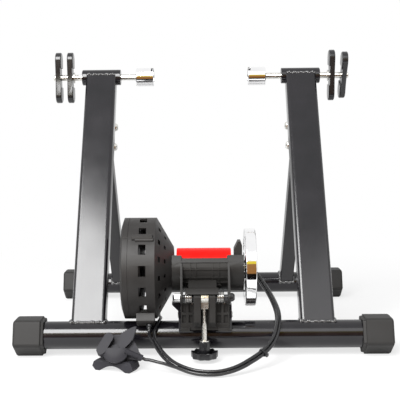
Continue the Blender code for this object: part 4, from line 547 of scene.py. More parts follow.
def pierced(bm: bmesh.types.BMesh, cutters: bmesh.types.BMesh) -> bmesh.types.BMesh:
    """Cut shapes out of another.

    Args:
        bm: The shape, which is used up.
        cutters: What is cut out of it, which is used up too.

    Returns:
        The shape with the holes.
    """
    whole, gone = (bpy.data.meshes.new(name) for name in ("whole", "gone"))
    for shape, mesh in ((bm, whole), (cutters, gone)):
        bmesh.ops.recalc_face_normals(shape, faces=shape.faces)
        shape.to_mesh(mesh)
        shape.free()
    target = bpy.data.objects.new("whole", whole)
    tool = bpy.data.objects.new("gone", gone)
    for obj in (target, tool):
        bpy.context.scene.collection.objects.link(obj)
    modifier = target.modifiers.new("holes", "BOOLEAN")
    modifier.operation = "DIFFERENCE"
    modifier.solver = "EXACT"
    modifier.object = tool
    result = bmesh.new()
    result.from_object(target, bpy.context.evaluated_depsgraph_get())
    for obj in (target, tool):
        bpy.data.objects.remove(obj)
    return result


def smooth_route(points: Sequence[Vector], pitch: float) -> list[Vector]:
    """A smooth curve through the given points.

    Args:
        points: The points it passes through.
        pitch: Distance between the points put out.

    Returns:
        The curve's points.
    """
    knots = [Vector(p) for p in points]
    knots = [2 * knots[0] - knots[1]] + knots + [2 * knots[-1] - knots[-2]]
    route = []
    for a, b, c, d in zip(knots, knots[1:], knots[2:], knots[3:]):
        pieces = max(1, round((c - b).length / pitch))
        for i in range(pieces):
            t = i / pieces
            bend = (2 * a - 5 * b + 4 * c - d) * t**2 + (3 * b - a - 3 * c + d) * t**3
            route.append(0.5 * (2 * b + (c - a) * t + bend))
    return route + [knots[-2]]


def spaced(points: Sequence[Vector], count: int) -> list[Vector]:
    """Points at equal distances along a line.

    Args:
        points: The line's points.
        count: How many to put out.

    Returns:
        The equally spaced points.
    """
    path = np.array([tuple(p) for p in points])
    travelled = np.concatenate([[0], np.cumsum(np.linalg.norm(np.diff(path, axis=0), axis=1))])
    places = np.linspace(0, travelled[-1], count)
    return [Vector([float(np.interp(s, travelled, path[:, k])) for k in range(3)]) for s in places]


def wire(name: str, points: Sequence[Vector], radius: float, finish: Finish) -> bpy.types.Object:
    """A round wire or cable along points.

    Args:
        name: The piece's name.
        points: Its middle line.
        radius: Its radius.
        finish: Its surface.

    Returns:
        The curve object.
    """
    data = bpy.data.curves.new(name, "CURVE")
    data.dimensions = "3D"
    data.bevel_depth = radius
    data.bevel_resolution = WIRE_ROUNDNESS
    data.use_fill_caps = True
    spline = data.splines.new("POLY")
    spline.points.add(len(points) - 1)
    for point, place in zip(spline.points, points):
        point.co = (*place, 1.0)
    data.materials.append(finish.build())
    obj = bpy.data.objects.new(name, data)
    bpy.context.scene.collection.objects.link(obj)
    return obj


class Workshop:
    """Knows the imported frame, and puts finished pieces on its bodies."""

    def __init__(self, frame: dict) -> None:
        """Read each node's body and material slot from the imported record.
        """
        record = frame["record"]
        self.nodes: dict[str, bpy.types.Object] = frame["nodes"]
        self.bodies = {n: b for b, members in record["behaviour"]["bodies"].items() for n in members}
        self.slots = {s["node"]: s["material_slot"] for s in record["subparts"]}
        self.left = set(self.nodes)

    def piece(
        self, name: str, bm: bmesh.types.BMesh, like: str, finish: Finish, replaces: Sequence[str] = ()
    ) -> bpy.types.Object:
        """Make a shape a piece of the trainer.

        Args:
            name: The piece's name.
            bm: Its shape, which is used up.
            like: The node whose body and slot it shares.
            finish: Its surface.
            replaces: The nodes that it stands for.

        Returns:
            The piece.
        """
        obj = new_object(name, bm, finish.build())
        obj.data.polygons.foreach_set("use_smooth", [True] * len(obj.data.polygons))
        obj.data.set_sharp_from_angle(angle=SHARP_ANGLE)
        # Flat faces keep their own normals beside their rounded edges
        obj.modifiers.new("flat_faces", "WEIGHTED_NORMAL").keep_sharp = True
        return self.settle(obj, like, replaces)

    def settle(
        self, obj: bpy.types.Object, like: str, replaces: Sequence[str] = ()
    ) -> bpy.types.Object:
        """Let a finished piece ride on a node's body, and stand for nodes.

        Args:
            obj: The piece.
            like: The node whose body and slot it shares.
            replaces: The nodes that it stands for.

        Returns:
            The piece.
        """
        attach(obj, self.bodies[like])
        if replaces:
            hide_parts(*replaces)
            self.left -= set(replaces)
        log.info("%s rides on %s", obj.name, self.bodies[like])
        return obj

    def copy_of(self, node: str) -> bmesh.types.BMesh:
        """Copy a node's mesh, with its doubled corners merged.

        Args:
            node: The node's name.

        Returns:
            The copy.
        """
        bm = bmesh.new()
        bm.from_mesh(self.nodes[node].data)
        bmesh.ops.remove_doubles(bm, verts=bm.verts, dist=MERGE)
        return bm

    def rounded(
        self, node: str, width: float, finish: Optional[Finish] = None, segments: int = 2
    ) -> bpy.types.Object:
        """Put a copy of a node with rounded edges in its place.

        Args:
            node: The node's name.
            width: Width of the rounding.
            finish: Its surface, or none for that of its slot.
            segments: Faces across the rounding.

        Returns:
            The piece.
        """
        bm = round_edges(self.copy_of(node), width, segments)
        chosen = finish or SLOT_FINISHES[self.slots[node]]
        return self.piece(f"{node}_dressed", bm, node, chosen, [node])


@dataclass
class Welds:
    """The weld beads that hold the legs on the tubes and the sleeves on the legs."""

    radius: float = 0.0028
    pitch: float = 0.0026
    swell: float = 0.14
    swell_step: float = 2.1
    flutter: float = 0.08
    flutter_step: float = 5.3
    flutter_start: float = 1.0
    wander: float = 0.3
    wander_step: float = 1.7
    ripple_faces: tuple[int, int] = (10, 6)
    ripple_turn: float = 0.7
    leg_x: float = 0.166
    leg_width: float = 0.050
    leg_depth: float = 0.030
    tube_r: float = 0.020
    support_leg_x: float = 0.161
    support_leg: float = 0.025
    support_tube_r: float = 0.019
    sleeve_bead_drop: float = 0.0036
    sleeve_bead_reach: float = 0.0140
    sleeve_bead_half: float = 0.022
    sleeve_bead_share: float = 0.8
    steps: int = 8

    def beads(self, path: Sequence[Vector], radius: float) -> bmesh.types.BMesh:
        """The overlapping ripples of a weld, which swell and wander a little.

        Args:
            path: Points of the weld's line.
            radius: Half the bead's width.

        Returns:
            The ripples as one shape.
        """
        length = sum((b - a).length for a, b in zip(path, path[1:]))
        count = max(2, round(length / self.pitch))
        bm = bmesh.new()
        for i, place in enumerate(spaced(path, count + 1)):
            place.z += self.wander * radius * math.sin(self.wander_step * i)
            growth = self.swell * math.sin(self.swell_step * i)
            growth += self.flutter * math.sin(self.flutter_step * i + self.flutter_start)
            turn = Matrix.Rotation(self.ripple_turn * i, 4, "X")
            around, along = self.ripple_faces
            bmesh.ops.create_uvsphere(
                bm, u_segments=around, v_segments=along, radius=radius * (1 + growth),
                matrix=Matrix.Translation(place) @ turn,
            )
        return bm

    def round_leg(
        self, middle: Vector, half: float, depth: float, tube_r: float, along: Vector
    ) -> bmesh.types.BMesh:
        """The bead round a leg that stands on a tube.

        Args:
            middle: Where the leg's middle line meets the tube's axis.
            half: Half the leg's width.
            depth: Half the leg's depth.
            tube_r: The tube's radius.
            along: Direction from the tube up the leg.

        Returns:
            The bead.
        """
        front = Vector((0, -along.z, along.y))

        def spot(dx: float, s: float) -> Vector:
            """The point of the tube's skin at dx across the leg and s towards its front."""
            rise = math.sqrt(tube_r**2 - s**2)
            return middle + Vector((dx, 0, 0)) + front * s + along * rise

        sweep = [depth - 2 * depth * i / self.steps for i in range(self.steps + 1)]
        path = [spot(-half, depth), spot(half, depth)] + [spot(half, s) for s in sweep[1:]]
        path += [spot(-half, -depth)] + [spot(-half, s) for s in sweep[::-1][1:]]
        return self.beads(path, self.radius)

    def build(self, shop: Workshop) -> None:
        """Lay the beads on both sides.

        Args:
            shop: Puts the pieces on their bodies.
        """
        base = Vector((0, BASE_Y, BASE_Z))
        axle = Vector((0, AXLE_Y, AXLE_Z))
        up = (axle - base).normalized()
        front = Vector((0, -up.z, up.y))
        support = Vector((0, SUPPORT_Y, BASE_Z))
        fold = (Vector((0, HINGE_Y, HINGE_Z)) - support).normalized()
        rear_half = self.support_leg / 2
        for side, name in ((-1, "left"), (1, "right")):
            out = Vector((side * self.leg_x, 0, 0))
            leg = self.round_leg(base + out, self.leg_width / 2, self.leg_depth / 2, self.tube_r, up)
            shop.piece(f"leg_weld_{name}", leg, f"main_leg_{name}", WELD)
            rear_middle = support + Vector((side * self.support_leg_x, 0, 0))
            rear = self.round_leg(rear_middle, rear_half, rear_half, self.support_tube_r, fold)
            shop.piece(f"support_weld_{name}", rear, f"support_leg_{name}", WELD)
            for face, label in ((1, "front"), (-1, "back")):
                middle = axle - up * self.sleeve_bead_drop + front * self.sleeve_bead_reach * face + out
                half = Vector((self.sleeve_bead_half, 0, 0))
                bead = self.beads([middle - half, middle + half], self.radius * self.sleeve_bead_share)
                shop.piece(f"sleeve_weld_{label}_{name}", bead, f"axle_sleeve_{name}", WELD)


@dataclass
class Stand:
    """The fixed front frame, its folding support and their feet."""

    base_half: float = 0.2677
    base_r: float = 0.020
    support_half: float = 0.2627
    support_r: float = 0.019
    wall: float = 0.002
    sleeve: tuple[float, float] = (0.134, 0.198)
    sleeve_r: float = 0.01285
    sleeve_bore: float = 0.0054
    sleeve_edge: float = 0.0008
    leg_edge: float = 0.0008
    support_leg_edge: float = 0.0006
    plate_edge: float = 0.0005
    foot_edge: float = 0.0026
    cap_edge: float = 0.0008

    def tube(self, half: float, radius: float, centre: Point) -> bmesh.types.BMesh:
        """An open steel tube along X.

        Args:
            half: Half its length.
            radius: Its outer radius.
            centre: Its middle.

        Returns:
            The tube.
        """
        inner = radius - self.wall
        profile = [(-half, inner), (-half, radius), (half, radius), (half, inner)]
        return turned(profile, centre, closed=True)

    def sleeve_profile(self, side: int) -> list[tuple[float, float]]:
        """The section of a leg's sleeve, with its chamfered ends.

        Args:
            side: -1 for the left sleeve, 1 for the right.

        Returns:
            Points of distance along the axle and radius.
        """
        low, high = self.sleeve
        r, edge = self.sleeve_r, self.sleeve_edge
        skin = [(low, r - edge), (low + edge, r), (high - edge, r), (high, r - edge)]
        return [(side * x, y) for x, y in [(low, self.sleeve_bore), *skin, (high, self.sleeve_bore)]]

    def build(self, shop: Workshop) -> None:
        """Build the tubes and sleeves, and round the pressed and moulded parts.

        Args:
            shop: Puts the pieces on their bodies.
        """
        base = self.tube(self.base_half, self.base_r, (0, BASE_Y, BASE_Z))
        shop.piece("base_tube", base, "main_base_tube", PAINT, ["main_base_tube"])
        rear = self.tube(self.support_half, self.support_r, (0, SUPPORT_Y, BASE_Z))
        shop.piece("rear_tube", rear, "support_base_tube", PAINT, ["support_base_tube"])
        for side, name in ((-1, "left"), (1, "right")):
            sleeve = turned(self.sleeve_profile(side), AXLE, closed=True)
            node = f"axle_sleeve_{name}"
            shop.piece(f"sleeve_{name}", sleeve, node, PAINT, [node])
            shop.rounded(f"main_leg_{name}", self.leg_edge)
            shop.rounded(f"support_leg_{name}", self.support_leg_edge)
            shop.rounded(f"hinge_bracket_{name}", self.plate_edge)
            shop.rounded(f"levelling_foot_{name}", self.foot_edge, segments=4)
            shop.rounded(f"support_end_cap_{name}", self.cap_edge, segments=3)
        shop.rounded("mount_bracket", self.plate_edge)


@dataclass
class Clamps:
    """The screw clamps for the bicycle's rear axle."""

    cup_edge: float = 0.0006
    knob_edge: float = 0.0011
    small_edge: float = 0.0003

    def build(self, shop: Workshop) -> None:
        """Dress the cups, spindles, washers and wing knobs of both sides.

        Args:
            shop: Puts the pieces on their bodies.
        """
        for name in ("left", "right"):
            shop.rounded(f"axle_cup_{name}", self.cup_edge, CHROME, 3)
            shop.rounded(f"spindle_{name}", self.small_edge, SCREW)
            shop.rounded(f"lock_washer_{name}", self.small_edge)
            shop.rounded(f"tightening_knob_{name}", self.knob_edge, KNOB, 3)
            shop.rounded(f"lock_knob_{name}", self.knob_edge, KNOB, 3)


@dataclass
class Rotor:
    """The red roller, the flywheel and what turns with them."""

    roller_x: tuple[float, float] = (-0.037, 0.0415)
    roller_r: float = 0.0285
    roller_edge: float = 0.001
    bore: float = 0.0063
    wheel_x: tuple[float, float] = (0.0613, 0.0767)
    wheel_r: float = 0.056
    wheel_faces: int = 160
    rim: float = 0.011
    rim_edge: float = 0.0016
    rim_edge_points: int = 6
    back_groove: float = 0.0008
    web_inset: float = 0.0056
    web_lip: float = 0.0006
    web_radii: tuple[float, float, float] = (0.0008, 0.0012, 0.002)
    hub_r: float = 0.016
    nut_edge: float = 0.0005
    small_edge: float = 0.0003

    def roller_profile(self) -> list[tuple[float, float]]:
        """The roller's section, with its chamfered ends.

        Returns:
            Points of distance along the shaft and radius.
        """
        low, high = self.roller_x
        r, edge = self.roller_r, self.roller_edge
        skin = [(low, r - edge), (low + edge, r), (high - edge, r), (high, r - edge)]
        return [(low, self.bore), *skin, (high, self.bore)]

    def wheel_profile(self) -> list[tuple[float, float]]:
        """The flywheel's section, from its bore out over the rim and back.

        Returns:
            Points of distance along the shaft and radius.
        """
        left, right = self.wheel_x
        r, edge, groove, lip = self.wheel_r, self.rim_edge, self.back_groove, self.web_lip
        inner = r - self.rim
        angles = np.linspace(0, math.pi / 2, self.rim_edge_points)
        corner = [(edge * (1 - math.cos(a)), edge * (1 - math.sin(a))) for a in angles]
        profile = [(left, self.bore), (left, self.hub_r), (left + groove, self.hub_r + groove)]
        profile += [(left + groove, inner - groove), (left, inner)]
        profile += [(left + a, r - b) for a, b in corner]
        profile += [(right - a, r - b) for a, b in corner[::-1]]
        web = right - self.web_inset
        outer, middle, root = self.web_radii
        profile += [(right, inner), (right - lip, inner - outer), (web + lip, inner - middle)]
        profile += [(web, inner - root), (web, self.bore)]
        return profile

    def build(self, shop: Workshop) -> None:
        """Turn the roller and flywheel, and dress the small pieces.

        Args:
            shop: Puts the pieces on their bodies.
        """
        roller = turned(self.roller_profile(), ROLLER, closed=True)
        shop.piece("red_drum", roller, "roller", RED, ["roller"])
        wheel = turned(self.wheel_profile(), ROLLER, closed=True, segments=self.wheel_faces)
        shop.piece("flywheel_turned", wheel, "flywheel", TURNED_CHROME, ["flywheel"])
        shop.rounded("flywheel_nut", self.nut_edge)
        shop.rounded("shaft", self.small_edge)
        shop.rounded("rotor_disc", self.small_edge)


@dataclass
class RollerUnit:
    """The swinging plastic unit with its drum."""

    vents: int = 15
    vent_start: float = math.radians(5)
    vent_rows: tuple[tuple[float, float, float], ...] = (
        (-0.0618, -0.0590, 0.0075),
        (-0.0540, -0.0516, 0.0055),
    )
    vent_depth: float = 0.016
    cone: tuple[tuple[float, float], ...] = ((-0.066, 0.0735), (-0.0413, 0.0306))
    boss_xs: tuple[float, float, float] = (-0.1035, -0.0935, -0.0675)
    boss_r: float = 0.0038
    boss_edge: float = 0.0008
    boss_angle: float = math.radians(41)
    boss_out: float = 0.0722
    boss_faces: int = 24
    screw_r: float = 0.0012
    drum_edge: float = 0.0004
    cover_edge: float = 0.0006
    small_edge: float = 0.0003

    def cone_radius(self, x: float) -> float:
        """The outer radius of the drum's cone at x along the axis."""
        (start, wide), (end, narrow) = self.cone
        return wide + (narrow - wide) * (x - start) / (end - start)

    def vent_cutters(self) -> bmesh.types.BMesh:
        """The blocks that cut the two rows of vents out of the cone.

        Returns:
            The blocks as one shape.
        """
        bm = bmesh.new()
        for low, high, length in self.vent_rows:
            middle = self.cone_radius((low + high) / 2)
            for k in range(self.vents):
                made = bmesh.ops.create_cube(bm, size=1.0)["verts"]
                bmesh.ops.scale(bm, verts=made, vec=(high - low, self.vent_depth, length))
                bmesh.ops.translate(bm, verts=made, vec=((low + high) / 2, -middle, 0))
                turn = Matrix.Rotation(self.vent_start + math.tau * k / self.vents, 3, "X")
                bmesh.ops.rotate(bm, verts=made, cent=(0, 0, 0), matrix=turn)
        bmesh.ops.translate(bm, verts=bm.verts, vec=ROLLER)
        return bm

    def boss(self) -> bmesh.types.BMesh:
        """The round boss along the rim, which takes a screw from the cover's side.

        Returns:
            The boss and its screw as one shape.
        """
        start, shoulder, end = self.boss_xs
        r, edge = self.boss_r, self.boss_edge
        profile = [(start, 0), (start, self.screw_r), (shoulder, self.screw_r), (shoulder, r)]
        profile += [(end - edge, r), (end, r - edge), (end, 0)]
        outward = Vector((0, -math.cos(self.boss_angle), math.sin(self.boss_angle))) * self.boss_out
        return turned(profile, Vector(ROLLER) + outward, segments=self.boss_faces)

    def build(self, shop: Workshop) -> None:
        """Dress the cradle, drum, magnets and bearings.

        Args:
            shop: Puts the pieces on their bodies.
        """
        shop.rounded("cradle", self.small_edge, UNIT)
        vented = pierced(shop.copy_of("drum_housing"), self.vent_cutters())
        housing = round_edges(vented, self.drum_edge)
        shop.piece("drum_housing_vented", housing, "drum_housing", DRUM, ["drum_housing"])
        shop.rounded("drum_cover", self.cover_edge, DRUM)
        for node in ("fixed_magnet_ring", "moving_magnet_ring"):
            shop.rounded(node, self.small_edge, PLATE)
        shop.piece("cover_screw_boss", self.boss(), "drum_housing", DRUM)
        for node in ("bearing_left", "bearing_right", "cable_gland"):
            shop.rounded(node, self.small_edge)


@dataclass
class Pivot:
    """The block, bolts and wound springs on which the unit swings, and the tension gear."""

    wire_r: float = 0.0009
    coil_r: float = 0.0073
    spans: tuple[tuple[float, float], ...] = ((-0.0245, -0.0135), (0.0200, 0.0310))
    turns: int = 4
    points_per_turn: int = 28
    leg: float = 0.009
    bolt_edge: float = 0.0004
    small_edge: float = 0.0003
    knob_edge: float = 0.0007

    def spring_route(self, span: tuple[float, float]) -> list[Vector]:
        """The middle line of a torsion spring, with its two straight legs.

        Args:
            span: Where the spring starts and ends along the bolt.

        Returns:
            The wire's points, from leg to leg.
        """
        count = self.turns * self.points_per_turn
        middle = Vector((0, PIVOT_Y, PIVOT_Z))
        low, high = span[0] + self.wire_r, span[1] - self.wire_r
        points = []
        for i in range(count + 1):
            angle = math.pi / 2 + math.tau * i / self.points_per_turn
            turned_to = Vector((0, math.cos(angle), -math.sin(angle))) * self.coil_r
            points.append(middle + Vector((low + (high - low) * i / count, 0, 0)) + turned_to)
        leg = Vector((0, self.leg, 0))
        return [points[0] + leg] + points + [points[-1] - leg]

    def build(self, shop: Workshop) -> None:
        """Dress the pivot's pieces and wind its springs.

        Args:
            shop: Puts the pieces on their bodies.
        """
        for node in ("pivot_block", "pivot_bolt", "pivot_nut", "lower_bolt"):
            shop.rounded(node, self.bolt_edge)
        for name in ("left", "right"):
            for stem in ("hinge_bolt", "hinge_nut", "stop_pin"):
                shop.rounded(f"{stem}_{name}", self.bolt_edge)
        shop.rounded("tension_rod", self.small_edge, ROD_SCREW)
        shop.rounded("star_washer", self.small_edge)
        shop.rounded("star_knob", self.knob_edge, KNOB, 3)
        for span, name in zip(self.spans, ("left", "right")):
            spring = wire(f"spring_{name}", self.spring_route(span), self.wire_r, WIRE)
            shop.settle(spring, f"torsion_spring_{name}", [f"torsion_spring_{name}"])


@dataclass
class Shifter:
    """The shifter that lies on the floor at the cable's end."""

    body_edge: float = 0.0005
    lever_edge: float = 0.0004

    def build(self, shop: Workshop) -> None:
        """Dress the body, lever and saddle.

        Args:
            shop: Puts the pieces on their bodies.
        """
        shop.rounded("shifter_body", self.body_edge, SHIFTER)
        shop.rounded("shifter_lever", self.lever_edge, SHIFTER)
        shop.rounded("shifter_saddle", self.body_edge, SHIFTER)


@dataclass
class Cable:
    """The shift cable, from the drum's gland through its tied bow to the shifter.

    The Y of its listed points counts from the base tube's axis.
    """

    radius: float = 0.0022
    ring_r: float = 0.0029
    twist: float = math.radians(80)
    slope: float = 0.45
    stations: int = 32
    shifter_station: int = 6
    pitch: float = 0.004
    strand_angles: tuple[float, float, float] = (
        math.radians(200),
        math.radians(80),
        math.radians(-40),
    )
    outlet_angle: float = math.radians(-61)
    gland_x: float = -0.076
    gland_out: float = 0.0855
    gland_length: float = 0.008
    gland_side: float = 0.0015
    clear: float = 0.0003
    tie_edge: float = 0.0002
    boss_start: Point = (-0.1045, -0.0960, 0.0305)
    boss_end: Point = (-0.0820, -0.0935, 0.0195)
    bundle: Sequence[Point] = (
        (-0.0690, -0.0540, 0.0346),
        (-0.0611, -0.0738, 0.0267),
        (-0.0513, -0.0901, 0.0193),
        (-0.0397, -0.1031, 0.0135),
        (-0.0284, -0.1109, 0.0100),
        (-0.0173, -0.1164, 0.0075),
        (-0.0063, -0.1198, 0.0060),
        (0.0091, -0.1214, 0.0054),
        (0.0223, -0.1206, 0.0057),
        (0.0356, -0.1164, 0.0075),
        (0.0491, -0.1094, 0.0106),
        (0.0606, -0.1006, 0.0146),
        (0.0724, -0.0906, 0.0191),
        (0.0840, -0.0785, 0.0245),
        (0.0949, -0.0617, 0.0321),
        (0.1021, -0.0428, 0.0406),
        (0.1066, -0.0217, 0.0501),
        (0.1082, -0.0073, 0.0566),
        (0.1080, 0.0070, 0.0630),
        (0.1054, 0.0249, 0.0711),
        (0.1000, 0.0480, 0.0814),
        (0.0931, 0.0686, 0.0907),
        (0.0876, 0.0826, 0.0970),
    )
    back: Sequence[Point] = (
        (0.0780, 0.0915, 0.0985),
        (0.0660, 0.0975, 0.0985),
        (0.0500, 0.0995, 0.0970),
        (0.0200, 0.0985, 0.0960),
        (-0.0100, 0.0970, 0.0960),
        (-0.0350, 0.0945, 0.0965),
        (-0.0530, 0.0890, 0.0940),
        (-0.0630, 0.0790, 0.0830),
        (-0.0655, 0.0620, 0.0640),
        (-0.0650, 0.0380, 0.0510),
        (-0.0615, 0.0150, 0.0520),
        (-0.0610, 0.0000, 0.0537),
        (-0.0630, -0.0095, 0.0522),
        (-0.0650, -0.0180, 0.0486),
        (-0.0678, -0.0262, 0.0438),
        (-0.0690, -0.0360, 0.0408),
    )
    turn: Sequence[Point] = (
        (0.0810, 0.0900, 0.1075),
        (0.0690, 0.0925, 0.1155),
        (0.0560, 0.0930, 0.1225),
        (0.0420, 0.0935, 0.1250),
        (0.0300, 0.0965, 0.1215),
        (0.0250, 0.1035, 0.1125),
        (0.0300, 0.1095, 0.1040),
        (0.0420, 0.1115, 0.1010),
        (0.0560, 0.1110, 0.1010),
        (0.0700, 0.1070, 0.1025),
        (0.0820, 0.0985, 0.1020),
    )
    drum_lead: Sequence[Point] = ((-0.0742, -0.0440, 0.0362),)
    shifter_lead: Sequence[Point] = (
        (-0.0715, -0.0950, 0.0172),
        (-0.0622, -0.0980, 0.0155),
        (-0.0509, -0.1022, 0.0138),
        (-0.0396, -0.1084, 0.0117),
    )

    def strand(self, number: int) -> list[Vector]:
        """The places of one of the bundle's three strands, which twist slowly round each other.

        Args:
            number: Which strand, from 0 to 2.

        Returns:
            A point at each station of the bundle.
        """
        middle = spaced(smooth_route(self.bundle, self.radius), self.stations)
        lean = Vector((0, -self.slope, 1)).normalized()
        last = self.stations - 1
        route = []
        for i, point in enumerate(middle):
            along = (middle[min(i + 1, last)] - middle[max(i - 1, 0)]).normalized()
            outward = along.cross(lean).normalized()
            over = outward.cross(along).normalized()
            angle = self.strand_angles[number] + self.twist * (1 - i / last)
            route.append(point + self.ring_r * (math.cos(angle) * outward + math.sin(angle) * over))
        return route

    def route(self) -> list[Vector]:
        """The whole cable's middle line, in the room's frame.

        Returns:
            Its points, from the drum's gland to the shifter.
        """
        out = Vector((0, -math.cos(self.outlet_angle), math.sin(self.outlet_angle)))
        across = Vector((0, math.sin(self.outlet_angle), math.cos(self.outlet_angle)))
        roller = Vector((0, ROLLER_Y - BASE_Y, ROLLER_Z))
        reach = self.gland_out + self.gland_length + self.clear
        leave = roller + Vector((self.gland_x, 0, 0)) + out * reach + across * self.gland_side
        boss_end = Vector(self.boss_end)
        boss_out = (boss_end - Vector(self.boss_start)).normalized()
        knots = [leave, leave + out * 2 * self.radius]
        knots += list(self.drum_lead) + self.strand(0) + list(self.back)
        knots += self.strand(1) + list(self.turn)
        knots += self.strand(2)[: self.shifter_station - 1 : -1] + list(self.shifter_lead[::-1])
        knots += [boss_end + boss_out * gap for gap in (2 * self.radius + self.clear, self.clear)]
        return [p + Vector((0, BASE_Y, 0)) for p in smooth_route(knots, self.pitch)]

    def build(self, shop: Workshop) -> None:
        """Lay the cable and its tie.

        Args:
            shop: Puts the pieces on their bodies.
        """
        tie = shop.rounded("cable_tie", self.tie_edge)
        points = self.route()
        cable = wire("shift_cable", points, self.radius, JACKET)
        shop.settle(cable, "cable_coil", ["cable_drum_lead", "cable_coil", "cable_shifter_lead"])


@dataclass(frozen=True)
class Lamp:
    """A soft rectangular lamp that faces the trainer.

    Its left and right edges are in degrees right of straight in front, its lower and upper edges in
    degrees above level, and a radiance of 1 is white.
    """

    name: str
    azimuths: tuple[float, float]
    heights: tuple[float, float]
    radiance: float

    def build(self, aim: Vector, distance: float) -> None:
        """Hang the lamp.

        Args:
            aim: Where it points.
            distance: How far from there it hangs.
        """
        azimuth, height = (math.radians(sum(pair) / 2) for pair in (self.azimuths, self.heights))
        spans = (math.radians((pair[1] - pair[0]) / 2) for pair in (self.azimuths, self.heights))
        width, tall = (2 * distance * math.tan(half) for half in spans)
        width *= math.cos(height)
        level = Vector((math.sin(azimuth), -math.cos(azimuth), 0)) * math.cos(height)
        toward = level + Vector((0, 0, math.sin(height)))
        data = bpy.data.lights.new(self.name, "AREA")
        data.shape = "RECTANGLE"
        data.size = width
        data.size_y = tall
        data.energy = self.radiance * math.pi * width * tall
        obj = bpy.data.objects.new(self.name, data)
        obj.location = aim + toward * distance
        obj.rotation_euler = toward.to_track_quat("Z", "Y").to_euler()
        bpy.context.scene.collection.objects.link(obj)


@dataclass
class Studio:
    """A pale floor, a white room, soft lamps, glowing coloured cards that show only as painted
    reflections, and the camera.

    The cards lie on the floor and stand between the trainer and the camera, at the given Y and heights.
    """

    room: float = 0.42
    floor_half: float = 30.0
    floor_drop: float = 0.0002
    floor_tone: float = 0.90
    floor_rough: float = 0.9
    floor_shine: float = 0.1
    floor_share: float = 0.68
    fade: tuple[float, float] = (0.35, 1.0)
    lens: float = 80.28
    sensor: float = 36.0
    clip: float = 0.01
    centre: tuple[float, float] = (187.7, 198.8)
    camera_at: Point = (0.001267, -1.274416 + BASE_Y, 0.326072)
    yaw: float = -0.0167098
    pitch: float = 0.0774587
    roll: float = -0.0099415
    frame_px: float = 400.0
    lamp_distance: float = 3.0
    lamp_aim: Point = (0.0, -0.10, 0.15)
    lamps: tuple[Lamp, ...] = (
        Lamp("left_box", (-38, -5), (14, 56), 16.5),
        Lamp("middle_strip", (-7, 3), (34, 46), 1.2),
        Lamp("right_box", (3, 40), (28, 52), 1.6),
    )
    dark: Colour = (0.006, 0.005, 0.005)
    brown: Colour = (0.34, 0.16, 0.05)
    yellow: Colour = (0.86, 0.66, 0.05)
    card_half: float = 1.0
    mat_lift: float = 0.0006
    dark_from: float = -0.43
    brown_from: float = -0.88
    card_y: float = -1.32
    brown_top: float = 0.49
    yellow_top: float = 0.68

    def world(self) -> None:
        """Light the room evenly, and show it white to the camera and to metal."""
        world = bpy.data.worlds.new("room")
        bpy.context.scene.world = world
        world.use_nodes = True
        tree = world.node_tree
        background = tree.nodes["Background"]
        background.inputs["Color"].default_value = (1, 1, 1, 1)
        path = tree.nodes.new("ShaderNodeLightPath")
        seen = math_node(tree, "MAXIMUM", path.outputs["Is Camera Ray"], path.outputs["Is Glossy Ray"])
        seen = math_node(tree, "MAXIMUM", seen, path.outputs["Is Transmission Ray"])
        strength = tree.nodes.new("ShaderNodeMapRange")
        strength.inputs["To Min"].default_value = self.room
        strength.inputs["To Max"].default_value = 1.0
        tree.links.new(seen, strength.inputs["Value"])
        tree.links.new(strength.outputs["Result"], background.inputs["Strength"])

    def floor_material(self) -> bpy.types.Material:
        """A pale surface, which shows whiter to the camera the further it is from the trainer.

        Returns:
            The material.
        """
        mat = bpy.data.materials.new("pale_floor")
        mat.use_nodes = True
        tree = mat.node_tree
        shader = tree.nodes["Principled BSDF"]
        shader.inputs["Base Color"].default_value = (self.floor_tone, self.floor_tone, self.floor_tone, 1)
        shader.inputs["Roughness"].default_value = self.floor_rough
        shader.inputs["Specular IOR Level"].default_value = self.floor_shine
        white = tree.nodes.new("ShaderNodeEmission")
        path = tree.nodes.new("ShaderNodeLightPath")
        mix = tree.nodes.new("ShaderNodeMixShader")
        place = tree.nodes.new("ShaderNodeTexCoord")
        far = tree.nodes.new("ShaderNodeVectorMath")
        far.operation = "LENGTH"
        tree.links.new(place.outputs["Object"], far.inputs[0])
        share = tree.nodes.new("ShaderNodeMapRange")
        share.interpolation_type = "SMOOTHSTEP"
        share.inputs["From Min"].default_value, share.inputs["From Max"].default_value = self.fade
        share.inputs["To Min"].default_value = self.floor_share
        tree.links.new(far.outputs["Value"], share.inputs["Value"])
        seen = math_node(tree, "MULTIPLY", path.outputs["Is Camera Ray"], share.outputs["Result"])
        tree.links.new(seen, mix.inputs["Fac"])
        tree.links.new(shader.outputs["BSDF"], mix.inputs[1])
        tree.links.new(white.outputs["Emission"], mix.inputs[2])
        tree.links.new(mix.outputs["Shader"], tree.nodes["Material Output"].inputs["Surface"])
        return mat

    def floor(self) -> None:
        """A pale floor that keeps the trainer's shadow."""
        bm = bmesh.new()
        bmesh.ops.create_grid(bm, x_segments=1, y_segments=1, size=self.floor_half)
        bmesh.ops.translate(bm, verts=bm.verts, vec=(0, 0, -self.floor_drop))
        obj = new_object("floor", bm, self.floor_material())

    def card(self, name: str, corners: Sequence[Point], colour: Colour) -> None:
        """A card in front of the trainer that glows with its colour and shows only in polished surfaces,
        as a painted reflection of the room.

        Args:
            name: The card's name.
            corners: Its four corners in order.
            colour: The colour that it glows with in reflections.
        """
        bm = bmesh.new()
        bm.faces.new([bm.verts.new(corner) for corner in corners])
        mat = bpy.data.materials.new(f"{name}_reflection_glow")
        mat.use_nodes = True
        shader = mat.node_tree.nodes["Principled BSDF"]
        shader.inputs["Base Color"].default_value = (0, 0, 0, 1)
        shader.inputs["Specular IOR Level"].default_value = 0.0
        # The colour is emitted light, seen only in reflections: a painted reflection of the room's floor
        # and wall
        shader.inputs["Emission Color"].default_value = (*colour, 1)
        shader.inputs["Emission Strength"].default_value = 1.0
        obj = new_object(name, bm, mat)
        obj.visible_camera = False
        obj.visible_diffuse = False
        obj.visible_shadow = False

